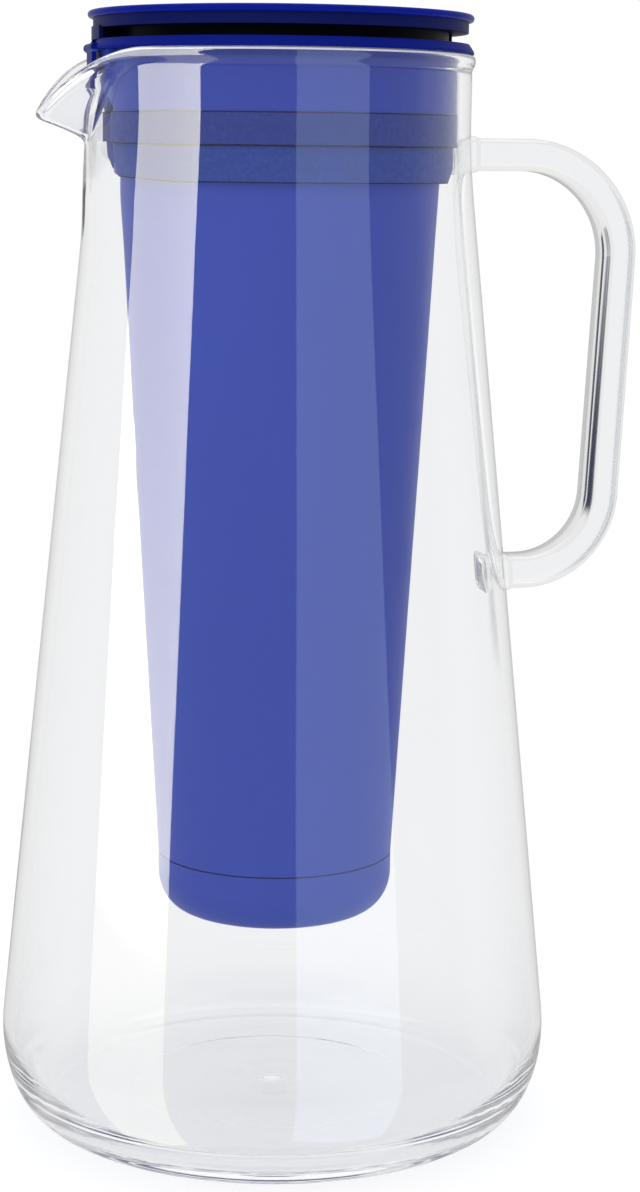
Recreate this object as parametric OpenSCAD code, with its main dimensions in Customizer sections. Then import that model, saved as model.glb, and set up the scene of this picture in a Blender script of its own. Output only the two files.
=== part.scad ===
// Water filter pitcher: a conical glass jug with a spout and a welded bar handle.
// A blue insert hangs in the neck. It holds the unfiltered water, a hollow-fibre filter
// and, in a turn-off cap at its foot, a carbon filter. A plug lid closes the insert.
// The axis of the jug is Z and its base stands on z = 0. The handle is on +X, the spout on -X.

/* [Jug] */
// Height of the glass rim above the table
jug_h = 269; // [250:1:325]
// Widest diameter of the glass, just above the base
jug_d = 140; // [124:1:168]
// Diameter of the bore in the neck
bore_d = 88; // [78:0.5:106]
// Thickness of the glass wall
glass_wall = 3; // [2.5:0.1:3.6]
// Thickness of the glass base at its edge
base_t = 5; // [4:0.5:7]
// Rise of the glass floor towards its centre
floor_dome = 1.2; // [0.4:0.1:2]
// Height of the neck above the cone
neck_h = 35; // [30:1:42]
// Extra radius where the cone meets the neck
neck_flare = 1; // [0.4:0.1:2]
// Height over which the outside narrows from the cone to the neck
neck_blend = 19; // [17:0.5:22]
// Height over which the inside narrows from the cone to the bore
bore_blend = 5; // [3:0.5:8]
// Extra radius of the rim's outer bead
rim_bead = 0.5; // [0.2:0.1:1]
// Width of the rounded base corner
corner_w = 13; // [9:0.5:18]
// Height of the rounded base corner
corner_h = 23; // [15:0.5:28]

/* [Spout] */
// Reach of the spout's tip beyond the neck
spout_reach = 14.3; // [10:0.1:18]
// Drop of the spout's tip below the rim
spout_drop = 13; // [9:0.5:16]
// Width of the spout where it leaves the rim
spout_w = 43; // [36:0.5:48]
// Depth of the spout's root below the rim
spout_depth = 26; // [21:0.5:28]
// Outer radius of the spout's tip
spout_tip_r = 4.2; // [3.6:0.1:5.2]
// Width of the spout's root on the neck
spout_root_w = 6; // [4:0.5:9]

/* [Handle] */
// Thickness of the handle bar, measured outwards from the jug
handle_t = 8.5; // [7:0.5:11]
// Width of the handle bar, measured across
handle_w = 11.5; // [9:0.5:18]
// Radius of the bar's rounded edges
handle_edge = 2; // [1.5:0.1:3.4]
// Drop of the upper handle root below the rim
handle_drop = 24; // [20:0.5:27]
// Height between the two handle roots
handle_span = 106; // [90:1:125]
// Length of the straight upper run
handle_top_run = 16; // [12:0.5:24]
// Length of the straight lower run
handle_low_run = 6; // [4:0.5:12]
// Bend radius at the top, on the bar's centre line
handle_bend_top = 25; // [20:0.5:30]
// Bend radius at the foot, on the bar's centre line
handle_bend_low = 21; // [16:0.5:26]
// Thickness of the weld pads at the roots
weld_t = 2.6; // [1.5:0.1:4]
// Margin of the weld pads around the bar
weld_margin = 0.8; // [0.4:0.1:1.5]

/* [Insert] */
// Thickness of the collar's flange on the rim
flange_t = 2.4; // [2:0.1:3.5]
// Overhang of the flange beyond the neck
flange_over = 0.4; // [0:0.1:1]
// Slope of the flange's outer face, measured across
flange_slope = 1.2; // [0.6:0.1:1.6]
// Depth of the collar from the rim down to its foot
collar_h = 31.2; // [28:0.2:38]
// Thickness of the collar's wall behind the seals
collar_wall = 2; // [1.6:0.1:3]
// Height of the upper neck seal
seal_upper_h = 7.8; // [6:0.2:9]
// Height of the lower neck seal
seal_lower_h = 8.7; // [6:0.1:9]
// Depth of the seat that holds the seals
seal_depth = 2.4; // [1.8:0.1:3]
// Set-back of the lower seal from the upper one
seal_step = 0.9; // [0.4:0.1:1.2]
// Chamfer at the foot of the lower seal
seal_chamfer = 1.2; // [0.5:0.1:1.3]
// Width of the pouring notch through both seals
notch_w = 15; // [10:0.5:18]
// Width of the pouring arch in the collar
arch_w = 21; // [19:0.5:24]
// Height of the pouring arch in the collar
arch_h = 7; // [4:0.5:9]
// Angle of the collar's apron behind the spout
apron_angle = 26; // [18:1:28]
// Depth of the apron below the rim
apron_h = 3.5; // [2:0.1:5]
// Reach of the apron beyond the collar's wall
apron_reach = 1.8; // [1.2:0.1:1.9]
// Wall of the reservoir
shell_wall = 2; // [1.5:0.1:2.5]
// Width of the shoulder under the collar
shell_shoulder = 0.5; // [0.4:0.1:1.5]
// Height of the reservoir's spigot inside the collar
shell_spigot = 8; // [5:0.5:12]
// Outer radius of the insert at the seam of its bottom cap
seam_r = 30; // [25:0.5:36]
// Clear height between the jug's floor and the insert
insert_lift = 47; // [40:1:56]

/* [Reservoir floor] */
// Thickness of the reservoir's floor
floor_t = 3; // [2:0.5:4]
// Bore radius of the filter socket
socket_r = 10; // [9:0.5:12]
// Wall of the filter socket
socket_wall = 2.5; // [1.8:0.1:3.5]
// Height of the filter socket
socket_h = 10; // [8:0.5:14]
// Radius of the drain hole in the floor
drain_r = 6; // [4:0.5:7]

/* [Bottom cap] */
// Height of the cap from its foot to the seam
cap_h = 15.2; // [13:0.2:20]
// Width of the rounded lower edge of the cap
cap_corner_w = 8; // [4:0.5:8.5]
// Height of the rounded lower edge of the cap
cap_corner_h = 10; // [5:0.5:11]
// Thickness of the cap's floor
cap_floor = 2.2; // [1.8:0.1:2.8]
// Wall of the reservoir around the cap's spigot
bayonet_wall = 3.5; // [3.2:0.1:4.5]
// Wall of the cap's spigot
cap_spigot_wall = 1.6; // [1.4:0.1:2.2]
// Thickness of the gasket in the seam
cap_gasket_t = 0.4; // [0.4:0.1:1.2]
// Set-back of the gasket from the outside
cap_gasket_in = 1.2; // [0.8:0.1:2]
// Number of bayonet lugs
lug_count = 3; // [2:1:4]
// Angle that one lug covers
lug_angle = 16; // [12:1:20]
// Angle that the cap turns to release
lug_turn = 40; // [30:1:45]
// Height of a lug
lug_h = 2.6; // [2:0.1:3]
// Reach of a lug beyond the spigot
lug_reach = 1.8; // [1.4:0.1:2]
// Height of the lugs above the seam
lug_lift = 4.6; // [3.6:0.1:6]
// Outlet holes in each ring of the cap's floor
outlet_count = 8; // [6:1:10]
// Radius of an outlet hole
outlet_r = 1.8; // [1.2:0.1:2.2]

/* [Carbon filter] */
// Height of the carbon case without its cover
carbon_h = 27; // [24:0.5:29]
// Wall of the carbon case
carbon_wall = 1.4; // [1:0.1:2]
// Thickness of the carbon case's floor
carbon_floor = 1.6; // [1.2:0.1:2.4]
// Thickness of the felt pads
pad_t = 1.5; // [1:0.1:2.5]
// Thickness of the cover
carbon_lid_t = 2; // [1.5:0.1:2.6]
// Depth of the cover's plug in the case
carbon_lid_plug = 1.2; // [0.8:0.1:2]

/* [Fibre filter] */
// Space between the fibre filter and the reservoir's wall
cartridge_gap = 5.2; // [3:0.1:7]
// Wall of the housing
housing_wall = 2; // [1.5:0.1:2.4]
// Height of the housing
housing_h = 57; // [45:1:65]
// Number of inlet windows
window_count = 8; // [5:1:10]
// Width of an inlet window
window_w = 8; // [5:0.5:9]
// Height left solid above and below the windows
window_margin = 7; // [5:0.5:10]
// Thickness of the filter's foot
foot_t = 3; // [2.5:0.1:4]
// Height of the resin that holds the fibre ends
potting_h = 6; // [4:0.5:8]
// Thickness of the mesh sleeve
mesh_t = 0.8; // [0.6:0.1:1.2]
// Space between the fibres and the mesh sleeve
fibre_gap = 1.5; // [0.8:0.1:3]
// Space between the fibres and the filter's cover
fibre_top_gap = 6; // [3:0.5:10]
// Thickness of the filter's cover
cartridge_cap_t = 5; // [4:0.5:7]
// Height of the grip on the cover
grip_h = 11; // [8:0.5:14]
// Thickness of the grip
grip_t = 6; // [4:0.5:8]
// Length of the grip
grip_l = 32; // [24:1:36]
// Bore of the outlet through the spigot
outlet_bore_r = 5; // [3.5:0.5:5.5]
// Section radius of the seal on the spigot
o_ring_r = 0.75; // [0.6:0.05:0.9]
// Height that the seal stands out of its groove
o_ring_proud = 0.1; // [0.05:0.05:0.2]

/* [Lid] */
// Overhang of the lid's disc beyond the neck
lid_over = 0.3; // [0:0.1:1]
// Thickness of the lid's disc
lid_top_t = 1.8; // [1.6:0.1:3]
// Set-back of the lid's plate under the disc
lid_setback = 1.3; // [0.8:0.1:2]
// Thickness of the lid's plate
lid_plate_t = 2.6; // [2.2:0.1:4]
// Height of the gap between collar and plate
lid_gap = 2.7; // [2:0.1:4]
// Set-back of the lid's core in the gap
core_setback = 6.2; // [5:0.1:7]
// Thickness of the post on the handle side
post_t = 1.4; // [1:0.1:2]
// Reach of the post beyond the core
post_reach = 2.2; // [1.4:0.1:2.6]
// Height of the post's foot above the flange
post_rise = 0.3; // [0.2:0.1:0.8]
// Angle of the block on the spout side
dam_angle = 16; // [10:1:24]
// Set-back of that block from the edge of the disc
dam_setback = 0.9; // [0.6:0.1:1.6]
// Depth of the plug in the collar's mouth
plug_h = 9.4; // [7:0.2:14]
// Wall of the plug
plug_wall = 2; // [1.6:0.1:3]
// Height of the lid's gasket
lid_gasket_h = 3.2; // [2:0.1:4]
// Height of that gasket above the plug's foot
lid_gasket_rise = 2; // [1.2:0.1:3]
// Depth of the groove that holds the gasket
lid_gasket_depth = 1; // [0.6:0.1:1.2]
// Height of the key between disc and plate
key_h = 1.4; // [0.8:0.1:1.8]
// Width of the key between disc and plate
key_w = 2; // [1.5:0.1:3]
// Inner radius of the key between disc and plate
key_r = 30; // [24:0.5:34]

/* [Spout flap] */
// Width of the flap
flap_w = 9; // [8:0.5:17]
// Width of the flap at its lower edge
flap_tip_w = 7.5; // [6:0.5:11]
// Length of the flap below its pin
flap_l = 9.4; // [7:0.2:10]
// Thickness of the flap
flap_t = 1.2; // [1:0.1:1.6]
// Outer radius of the flap's barrel
barrel_r = 1.1; // [1:0.05:1.3]
// Radius of the hinge pin
pin_r = 0.45; // [0.35:0.05:0.5]
// Set-back of the hinge from the flange's edge
hinge_setback = 0.6; // [0:0.1:1]
// Drop of the hinge below the flange's top
hinge_drop = 2; // [1.4:0.1:2.2]
// Thickness of the hinge lugs
hinge_lug_t = 1.8; // [1.6:0.1:2.6]
// Depth of the pin's seat in each lug
pin_seat = 1; // [0.8:0.1:1.2]

/* [Clearances] */
// Radial gap between the collar and the neck
insert_gap = 0.6; // [0.4:0.05:0.8]
// Radial gap between the upper seal and the neck
seal_gap = 0.4; // [0.35:0.05:0.5]
// Radial gap between the lid's plug and the collar
plug_gap = 0.7; // [0.5:0.05:1]
// Radial gap between the lid's gasket and the collar
gasket_gap = 0.35; // [0.3:0.05:0.45]
// Gap around the bayonet lugs and the cap's spigot
bayonet_gap = 0.4; // [0.35:0.05:0.5]
// Radial gap between the filter's spigot and its socket
spigot_gap = 0.4; // [0.35:0.05:0.5]
// Radial gap between the hinge pin and the flap's barrel
pin_gap = 0.06; // [0.03:0.01:0.09]
// Gap at each end of the flap and around its barrel
flap_gap = 0.4; // [0.35:0.05:0.6]
// Gap between the carbon filter and the reservoir's floor
floor_gap = 1.6; // [1:0.1:3]
// Gap between the filter's spigot and the reservoir's floor
spigot_rise = 1; // [0.6:0.1:1.6]

/* [Hidden] */
$fn = 96;
// Overlap that carries a cut or a joined shape past a face
eps = 0.5;
// Steps in a rounded corner of a turned section
corner_steps = 14;
small_fn = 32;

// Jug
jug_r = jug_d / 2;
bore_r = bore_d / 2;
neck_r = bore_r + glass_wall;
cone_top = jug_h - neck_h;
cone_top_r = neck_r + neck_flare;
rim_round = glass_wall * 0.3;
bead_h = 3 * rim_bead;

// Outer radius of the cone at height z
function cone_r(z) = jug_r + (cone_top_r - jug_r) * (z - corner_h) / (cone_top - corner_h);

// Quarter of an ellipse in a turned section, from its foot out to its widest point
function corner(cx, cz, w, h) =
    [for (i = [0 : corner_steps]) [cx + w * sin(90 * i / corner_steps), cz - h * cos(90 * i / corner_steps)]];

function jug_outside() = concat(
    [[0, 0]],
    corner(jug_r - corner_w, corner_h, corner_w, corner_h),
    [
        [cone_top_r, cone_top],
        [neck_r, cone_top + neck_blend],
        [neck_r, jug_h - 2 * bead_h],
        [neck_r + rim_bead, jug_h - bead_h],
        [neck_r + rim_bead, jug_h - rim_round],
        [neck_r + rim_bead - rim_round, jug_h]
    ]
);

function jug_inside_top_down() = [
    [bore_r + rim_round, jug_h],
    [bore_r, jug_h - rim_round],
    [bore_r, cone_top + bore_blend],
    [bore_r + neck_flare, cone_top]
];

function jug_inside_corner() = corner(jug_r - glass_wall - corner_w, corner_h, corner_w, corner_h - base_t);

function reversed(list) = [for (i = [len(list) - 1 : -1 : 0]) list[i]];

// Insert
collar_r = bore_r - insert_gap;
seal_r = bore_r - seal_gap;
seal_seat_r = collar_r - seal_depth;
collar_in_r = seal_seat_r - collar_wall;
flange_r = neck_r + flange_over;
flange_top = jug_h + flange_t;
collar_foot = jug_h - collar_h;
seal_mid = collar_foot + seal_lower_h;
seal_top = seal_mid + seal_upper_h;
shell_top_r = collar_in_r + shell_shoulder;
insert_foot = base_t + floor_dome + insert_lift;
seam_z = insert_foot + cap_h;

// Outer radius of the reservoir at height z
function shell_r(z) = seam_r + (shell_top_r - seam_r) * (z - seam_z) / (collar_foot - seam_z);

// Bottom cap and carbon filter
cap_top = seam_z - cap_gasket_t;
low_in_r = seam_r - bayonet_wall;
cap_spigot_r = low_in_r - bayonet_gap;
cap_in_r = cap_spigot_r - cap_spigot_wall;
cap_floor_top = insert_foot + cap_floor;
carbon_top = cap_floor_top + carbon_h;
carbon_in_r = cap_in_r - carbon_wall;
media_top = carbon_top - carbon_lid_plug - pad_t;
cap_spigot_top = carbon_top - carbon_lid_t;
lug_r = cap_spigot_r + lug_reach;
lug_z = seam_z + lug_lift;
floor_bottom = carbon_top + carbon_lid_t + floor_gap;
floor_top = floor_bottom + floor_t;
socket_top = floor_top + socket_h;

// Fibre filter
cartridge_r = shell_r(floor_top) - shell_wall - cartridge_gap;
housing_in_r = cartridge_r - housing_wall;
housing_foot = socket_top + foot_t + potting_h;
housing_top = housing_foot + housing_h;
cartridge_top = housing_top + cartridge_cap_t;
spigot_r = socket_r - spigot_gap;
spigot_foot = floor_top + spigot_rise;
o_ring_groove = 2 * o_ring_r - o_ring_proud;
o_ring_seat_r = spigot_r - o_ring_groove;
o_ring_z = floor_top + socket_h / 2;
fibre_r = housing_in_r - mesh_t - fibre_gap;

// Lid
lid_r = neck_r + lid_over;
plate_bottom = flange_top + lid_gap;
plate_top = plate_bottom + lid_plate_t;
lid_top_z = plate_top + lid_top_t;
plate_r = lid_r - lid_setback;
core_r = lid_r - core_setback;
plug_r = collar_in_r - plug_gap;
plug_foot = flange_top - plug_h;
lid_gasket_r = collar_in_r - gasket_gap;
lid_gasket_z = plug_foot + lid_gasket_rise;

// Spout flap
hinge_x = -(flange_r - hinge_setback);
hinge_z = flange_top - hinge_drop;
lug_half = flap_w / 2 + flap_gap;
pin_l = 2 * (lug_half + pin_seat);

// Ring with a rectangular section
module ring(r_in, r_out, z0, z1) {
    rotate_extrude()
        translate([r_in, z0])
            square([r_out - r_in, z1 - z0]);
}

// Part of such a ring, from one angle on through a given turn
module arc_ring(r_in, r_out, z0, z1, start, turn) {
    rotate([0, 0, start])
        rotate_extrude(angle = turn)
            translate([r_in, z0])
                square([r_out - r_in, z1 - z0]);
}

module disc(r, z0, z1) {
    translate([0, 0, z0])
        cylinder(h = z1 - z0, r = r);
}

// Holes in two rings around the axis
module outlet_holes(r_limit, z0, z1) {
    for (share = [0.42, 0.78])
        for (i = [0 : outlet_count - 1])
            rotate([0, 0, 360 * i / outlet_count])
                translate([r_limit * share, 0, z0 - eps])
                    cylinder(h = z1 - z0 + 2 * eps, r = outlet_r, $fn = small_fn);
}

// Solid shape of the jug's outside without the spout
module jug_envelope() {
    rotate_extrude()
        polygon(concat(jug_outside(), [[0, jug_h]]));
}

// Outer form of the spout: a beak from the rim and the neck to the tip
module spout_outside() {
    half = spout_w / 2;
    root_x = -sqrt(neck_r * neck_r - half * half);
    bead = 1;
    tip_x = -(neck_r + spout_reach - spout_tip_r);
    hull() {
        for (side = [-1, 1]) {
            translate([root_x + bead, side * (half - bead), jug_h - bead])
                sphere(r = bead, $fn = 16);
            translate([-(neck_r - glass_wall / 2 - bead), side * spout_root_w / 2, jug_h - spout_depth])
                sphere(r = bead, $fn = 16);
        }
        translate([tip_x, 0, jug_h - spout_drop - spout_tip_r / 2])
            sphere(r = spout_tip_r, $fn = 32);
    }
}

// Channel of the spout, open to the top
module spout_channel() {
    half = spout_w / 2 - glass_wall;
    root_x = -sqrt(bore_r * bore_r - half * half);
    bead = 1;
    tip_r = spout_tip_r - glass_wall / 2;
    tip_x = -(neck_r + spout_reach - spout_tip_r) + glass_wall * 0.4;
    hull() {
        for (side = [-1, 1]) {
            translate([root_x + bead, side * (half - bead), jug_h - 2 * bead])
                cylinder(h = spout_depth, r = bead, $fn = 16);
            translate([-(bore_r - 3 * bead), side, jug_h - spout_depth + 1.5 * glass_wall])
                sphere(r = bead, $fn = 16);
        }
        translate([tip_x, 0, jug_h - spout_drop])
            sphere(r = tip_r, $fn = 32);
        translate([tip_x, 0, jug_h - spout_drop])
            cylinder(h = spout_depth, r = tip_r, $fn = 32);
    }
}

module glass_body() {
    color([0.9, 0.92, 0.95, 0.5])
        difference() {
            union() {
                jug_envelope();
                spout_outside();
            }
            rotate_extrude()
                polygon(concat(
                    [[0, base_t + floor_dome]],
                    jug_inside_corner(),
                    reversed(jug_inside_top_down()),
                    [[0, jug_h]]
                ));
            disc(bore_r + rim_round, jug_h, jug_h + 2 * spout_depth);
            spout_channel();
        }
}

// Section of the handle bar: a rectangle with rounded edges
module bar_section(t, w, r) {
    square([t, w - 2 * r], center = true);
    square([t - 2 * r, w], center = true);
    for (x = [-1, 1])
        for (y = [-1, 1])
            translate([x * (t / 2 - r), y * (w / 2 - r)])
                circle(r = r, $fn = small_fn);
}

module glass_handle() {
    top_z = jug_h - handle_drop;
    low_z = top_z - handle_span;
    low_r = cone_r(low_z);
    top_x = neck_r + handle_top_run;
    low_x = low_r + handle_low_run;
    top_c = [top_x, top_z - handle_bend_top];
    low_c = [low_x, low_z + handle_bend_low];
    // The back is straight and meets both bends squarely, so it leans by this angle
    dist = norm(top_c - low_c);
    lean = asin((handle_bend_low - handle_bend_top) / dist) + atan2(low_c[0] - top_c[0], top_c[1] - low_c[1]);
    back_l = sqrt(dist * dist - pow(handle_bend_top - handle_bend_low, 2));
    back = low_c + handle_bend_low * [cos(lean), sin(lean)];
    root = 2 * glass_wall;
    // The bends run a little way into the back, which is a hair slimmer, so that the bar is one piece
    lap = 0.5;
    hair = 0.01;
    color([0.9, 0.92, 0.95, 0.5])
        difference() {
            union() {
                translate([neck_r - root, 0, top_z])
                    rotate([0, 90, 0])
                        linear_extrude(handle_top_run + root)
                            bar_section(handle_t, handle_w, handle_edge);
                translate([neck_r - root, 0, top_z])
                    rotate([0, 90, 0])
                        linear_extrude(root + weld_t)
                            bar_section(handle_t + 2 * weld_margin, handle_w + 2 * weld_margin, handle_edge);
                translate([top_c[0], 0, top_c[1]])
                    rotate([-90, 0, 0])
                        rotate([0, 0, -90])
                            rotate_extrude(angle = 90 - lean + lap)
                                translate([handle_bend_top, 0])
                                    bar_section(handle_t, handle_w, handle_edge);
                translate([back[0], 0, back[1]])
                    rotate([0, -lean, 0])
                        linear_extrude(back_l)
                            bar_section(handle_t - 2 * hair, handle_w - 2 * hair, handle_edge - hair);
                translate([low_c[0], 0, low_c[1]])
                    rotate([90, 0, 0])
                        rotate([0, 0, -90])
                            rotate_extrude(angle = 90 + lean + lap)
                                translate([handle_bend_low, 0])
                                    bar_section(handle_t, handle_w, handle_edge);
                translate([low_r - root, 0, low_z])
                    rotate([0, 90, 0])
                        linear_extrude(handle_low_run + root)
                            bar_section(handle_t, handle_w, handle_edge);
                translate([low_r - root, 0, low_z])
                    rotate([0, 90, 0])
                        linear_extrude(root + weld_t)
                            bar_section(handle_t + 2 * weld_margin, handle_w + 2 * weld_margin, handle_edge);
            }
            jug_envelope();
        }
}

// Slot that the pouring notch leaves in the seals
module pour_notch() {
    translate([-(neck_r + eps), -notch_w / 2, collar_foot - eps])
        cube([neck_r - seal_seat_r / 2, notch_w, seal_top - collar_foot + 2 * eps]);
}

module collar_ring() {
    color([0.12, 0.2, 0.66])
        difference() {
            union() {
                rotate_extrude()
                    polygon([
                        [collar_in_r, collar_foot],
                        [seal_seat_r, collar_foot],
                        [seal_seat_r, seal_top],
                        [collar_r, seal_top],
                        [collar_r, jug_h],
                        [flange_r, jug_h],
                        [flange_r, jug_h + flange_t / 4],
                        [flange_r - flange_slope, flange_top],
                        [collar_in_r, flange_top]
                    ]);
                arc_ring(
                    collar_r - eps, collar_r + apron_reach,
                    jug_h - apron_h, jug_h + flange_t / 4,
                    180 - apron_angle / 2, apron_angle
                );
                for (side = [-1, 1])
                    hinge_lug(side);
            }
            // Arch on the spout side, above the notch in the seals
            difference() {
                translate([-seal_seat_r / 2, 0, seal_top])
                    rotate([90, 0, -90])
                        linear_extrude(neck_r)
                            polygon([
                                [-arch_w / 2, -eps],
                                [arch_w / 2, -eps],
                                [arch_w / 2, 0],
                                [0, arch_h],
                                [-arch_w / 2, 0]
                            ]);
                disc(seal_seat_r, seal_top - 2 * eps, seal_top + 2 * arch_h);
            }
            // Room for the flap's barrel in the edge of the flange
            translate([hinge_x - barrel_r - flap_gap, -lug_half, jug_h - eps])
                cube([2 * (barrel_r + flap_gap), 2 * lug_half, flange_t + 2 * eps]);
            // Blind seats of the pin
            translate([hinge_x, pin_l / 2, hinge_z])
                rotate([90, 0, 0])
                    cylinder(h = pin_l, r = pin_r, $fn = small_fn);
        }
}

// Lug of the flap's hinge, standing out from the flange
module hinge_lug(side) {
    inner = flange_r - flange_slope - 3;
    y0 = side > 0 ? lug_half : -lug_half - hinge_lug_t;
    translate([hinge_x, y0 + hinge_lug_t, hinge_z])
        rotate([90, 0, 0])
            cylinder(h = hinge_lug_t, r = barrel_r, $fn = small_fn);
    translate([hinge_x, y0, hinge_z - (flange_t - barrel_r) / 2])
        cube([-hinge_x - inner * cos(asin(lug_half / inner)), hinge_lug_t, flange_t / 2]);
}

module upper_neck_seal() {
    color([0.3, 0.34, 0.6])
        difference() {
            ring(seal_seat_r, seal_r, seal_mid, seal_top);
            pour_notch();
        }
}

module lower_neck_seal() {
    outer = seal_r - seal_step;
    color([0.3, 0.36, 0.64])
        difference() {
            rotate_extrude()
                polygon([
                    [seal_seat_r, collar_foot],
                    [outer - seal_chamfer, collar_foot],
                    [outer, collar_foot + 3 * seal_chamfer],
                    [outer, seal_mid],
                    [seal_seat_r, seal_mid]
                ]);
            pour_notch();
        }
}

module reservoir_shell() {
    groove_pad = 2;
    slot_ease = 0.2;
    color([0.14, 0.24, 0.72])
        difference() {
            rotate_extrude()
                polygon([
                    [low_in_r, seam_z],
                    [seam_r, seam_z],
                    [shell_top_r, collar_foot],
                    [collar_in_r, collar_foot],
                    [collar_in_r, collar_foot + shell_spigot],
                    [collar_in_r - shell_wall, collar_foot + shell_spigot],
                    [collar_in_r - shell_wall, collar_foot],
                    [shell_r(floor_top) - shell_wall, floor_top],
                    [socket_r + socket_wall, floor_top],
                    [socket_r + socket_wall, socket_top],
                    [socket_r, socket_top],
                    [socket_r, floor_top],
                    [drain_r, floor_top],
                    [drain_r, floor_bottom],
                    [low_in_r, floor_bottom]
                ]);
            // Bayonet tracks, each of which ends in a slightly deeper entry slot
            for (i = [0 : lug_count - 1])
                rotate([0, 0, 360 * i / lug_count]) {
                    arc_ring(
                        low_in_r - eps, lug_r + bayonet_gap,
                        lug_z - bayonet_gap, lug_z + lug_h + bayonet_gap,
                        -groove_pad, lug_turn + lug_angle / 2 + groove_pad
                    );
                    arc_ring(
                        low_in_r - eps, lug_r + bayonet_gap + slot_ease,
                        seam_z - eps, lug_z + lug_h + bayonet_gap + slot_ease,
                        lug_turn - groove_pad, lug_angle + 2 * groove_pad
                    );
                }
        }
}

module flap_pin() {
    color([0.7, 0.7, 0.72])
        translate([hinge_x, pin_l / 2, hinge_z])
            rotate([90, 0, 0])
                cylinder(h = pin_l, r = pin_r, $fn = small_fn);
}

module spout_flap() {
    color([0.1, 0.16, 0.55])
        difference() {
            union() {
                translate([hinge_x, flap_w / 2, hinge_z])
                    rotate([90, 0, 0])
                        cylinder(h = flap_w, r = barrel_r, $fn = small_fn);
                translate([hinge_x - flap_t / 2, 0, hinge_z])
                    rotate([90, 0, 90])
                        linear_extrude(flap_t)
                            polygon([
                                [-flap_tip_w / 2, -flap_l],
                                [flap_tip_w / 2, -flap_l],
                                [flap_w / 2, 0],
                                [-flap_w / 2, 0]
                            ]);
            }
            translate([hinge_x, flap_w / 2 + eps, hinge_z])
                rotate([90, 0, 0])
                    cylinder(h = flap_w + 2 * eps, r = pin_r + pin_gap, $fn = small_fn);
        }
}

module lid_top() {
    edge = lid_top_t / 2;
    color([0.1, 0.2, 0.7])
        rotate_extrude() {
            translate([0, plate_top])
                square([lid_r - edge, lid_top_t]);
            translate([lid_r - edge, plate_top + edge])
                circle(r = edge, $fn = small_fn);
            translate([key_r, plate_top - key_h])
                square([key_w, key_h + edge]);
        }
}

module lid_base() {
    dam_r = lid_r - dam_setback;
    color([0.1, 0.15, 0.45])
        difference() {
            union() {
                disc(plate_r, plate_bottom, plate_top);
                disc(core_r, flange_top, plate_bottom + eps);
                ring(plug_r - plug_wall, plug_r, plug_foot, flange_top + eps);
                translate([core_r - eps, -post_t / 2, flange_top + post_rise])
                    cube([post_reach + eps, post_t, lid_gap - post_rise + eps]);
                arc_ring(
                    core_r - eps, dam_r,
                    flange_top, plate_bottom + eps,
                    180 - dam_angle / 2, dam_angle
                );
            }
            ring(key_r, key_r + key_w, plate_top - key_h, plate_top + eps);
            ring(plug_r - lid_gasket_depth, plug_r + eps, lid_gasket_z, lid_gasket_z + lid_gasket_h);
            // Hollow underside of the core
            disc(plug_r - plug_wall, plug_foot - eps, flange_top + lid_gap / 2);
        }
}

module lid_gasket() {
    color([0.55, 0.57, 0.62])
        ring(plug_r - lid_gasket_depth, lid_gasket_r, lid_gasket_z, lid_gasket_z + lid_gasket_h);
}

module bottom_cap() {
    color([0.12, 0.21, 0.66])
        difference() {
            union() {
                rotate_extrude()
                    polygon(concat(
                        [[0, insert_foot]],
                        corner(seam_r - cap_corner_w, insert_foot + cap_corner_h, cap_corner_w, cap_corner_h),
                        [
                            [seam_r, cap_top],
                            [cap_spigot_r, cap_top],
                            [cap_spigot_r, cap_spigot_top],
                            [cap_in_r, cap_spigot_top],
                            [cap_in_r, cap_floor_top],
                            [0, cap_floor_top]
                        ]
                    ));
                for (i = [0 : lug_count - 1])
                    arc_ring(cap_spigot_r - eps, lug_r, lug_z, lug_z + lug_h, 360 * i / lug_count, lug_angle);
            }
            outlet_holes(carbon_in_r, insert_foot, cap_floor_top);
        }
}

module cap_gasket() {
    color([0.2, 0.22, 0.3])
        ring(cap_spigot_r, seam_r - cap_gasket_in, cap_top, seam_z);
}

module carbon_case() {
    color([0.88, 0.89, 0.9])
        difference() {
            disc(cap_in_r, cap_floor_top, carbon_top);
            disc(carbon_in_r, cap_floor_top + carbon_floor, carbon_top + eps);
            outlet_holes(carbon_in_r, cap_floor_top, cap_floor_top + carbon_floor);
        }
}

module carbon_case_lid() {
    color([0.84, 0.85, 0.88])
        difference() {
            union() {
                disc(cap_in_r, carbon_top, carbon_top + carbon_lid_t);
                disc(carbon_in_r, carbon_top - carbon_lid_plug, carbon_top + eps);
            }
            outlet_holes(carbon_in_r, carbon_top - carbon_lid_plug, carbon_top + carbon_lid_t);
        }
}

module carbon_media() {
    color([0.09, 0.09, 0.1])
        disc(carbon_in_r, cap_floor_top + carbon_floor + pad_t, media_top);
}

module felt_pad_lower() {
    color([0.93, 0.92, 0.88])
        disc(carbon_in_r, cap_floor_top + carbon_floor, cap_floor_top + carbon_floor + pad_t);
}

module felt_pad_upper() {
    color([0.93, 0.92, 0.88])
        disc(carbon_in_r, media_top, media_top + pad_t);
}

module cartridge_base() {
    color([0.86, 0.88, 0.92])
        rotate_extrude()
            polygon([
                [outlet_bore_r, spigot_foot],
                [spigot_r, spigot_foot],
                [spigot_r, o_ring_z - o_ring_r],
                [o_ring_seat_r, o_ring_z - o_ring_r],
                [o_ring_seat_r, o_ring_z + o_ring_r],
                [spigot_r, o_ring_z + o_ring_r],
                [spigot_r, socket_top],
                [cartridge_r, socket_top],
                [cartridge_r, housing_foot],
                [housing_in_r, housing_foot],
                [housing_in_r, socket_top + foot_t],
                [outlet_bore_r, socket_top + foot_t]
            ]);
}

module cartridge_o_ring() {
    color([0.12, 0.12, 0.13])
        rotate_extrude()
            translate([o_ring_seat_r + o_ring_r, o_ring_z])
                circle(r = o_ring_r, $fn = small_fn);
}

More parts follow.
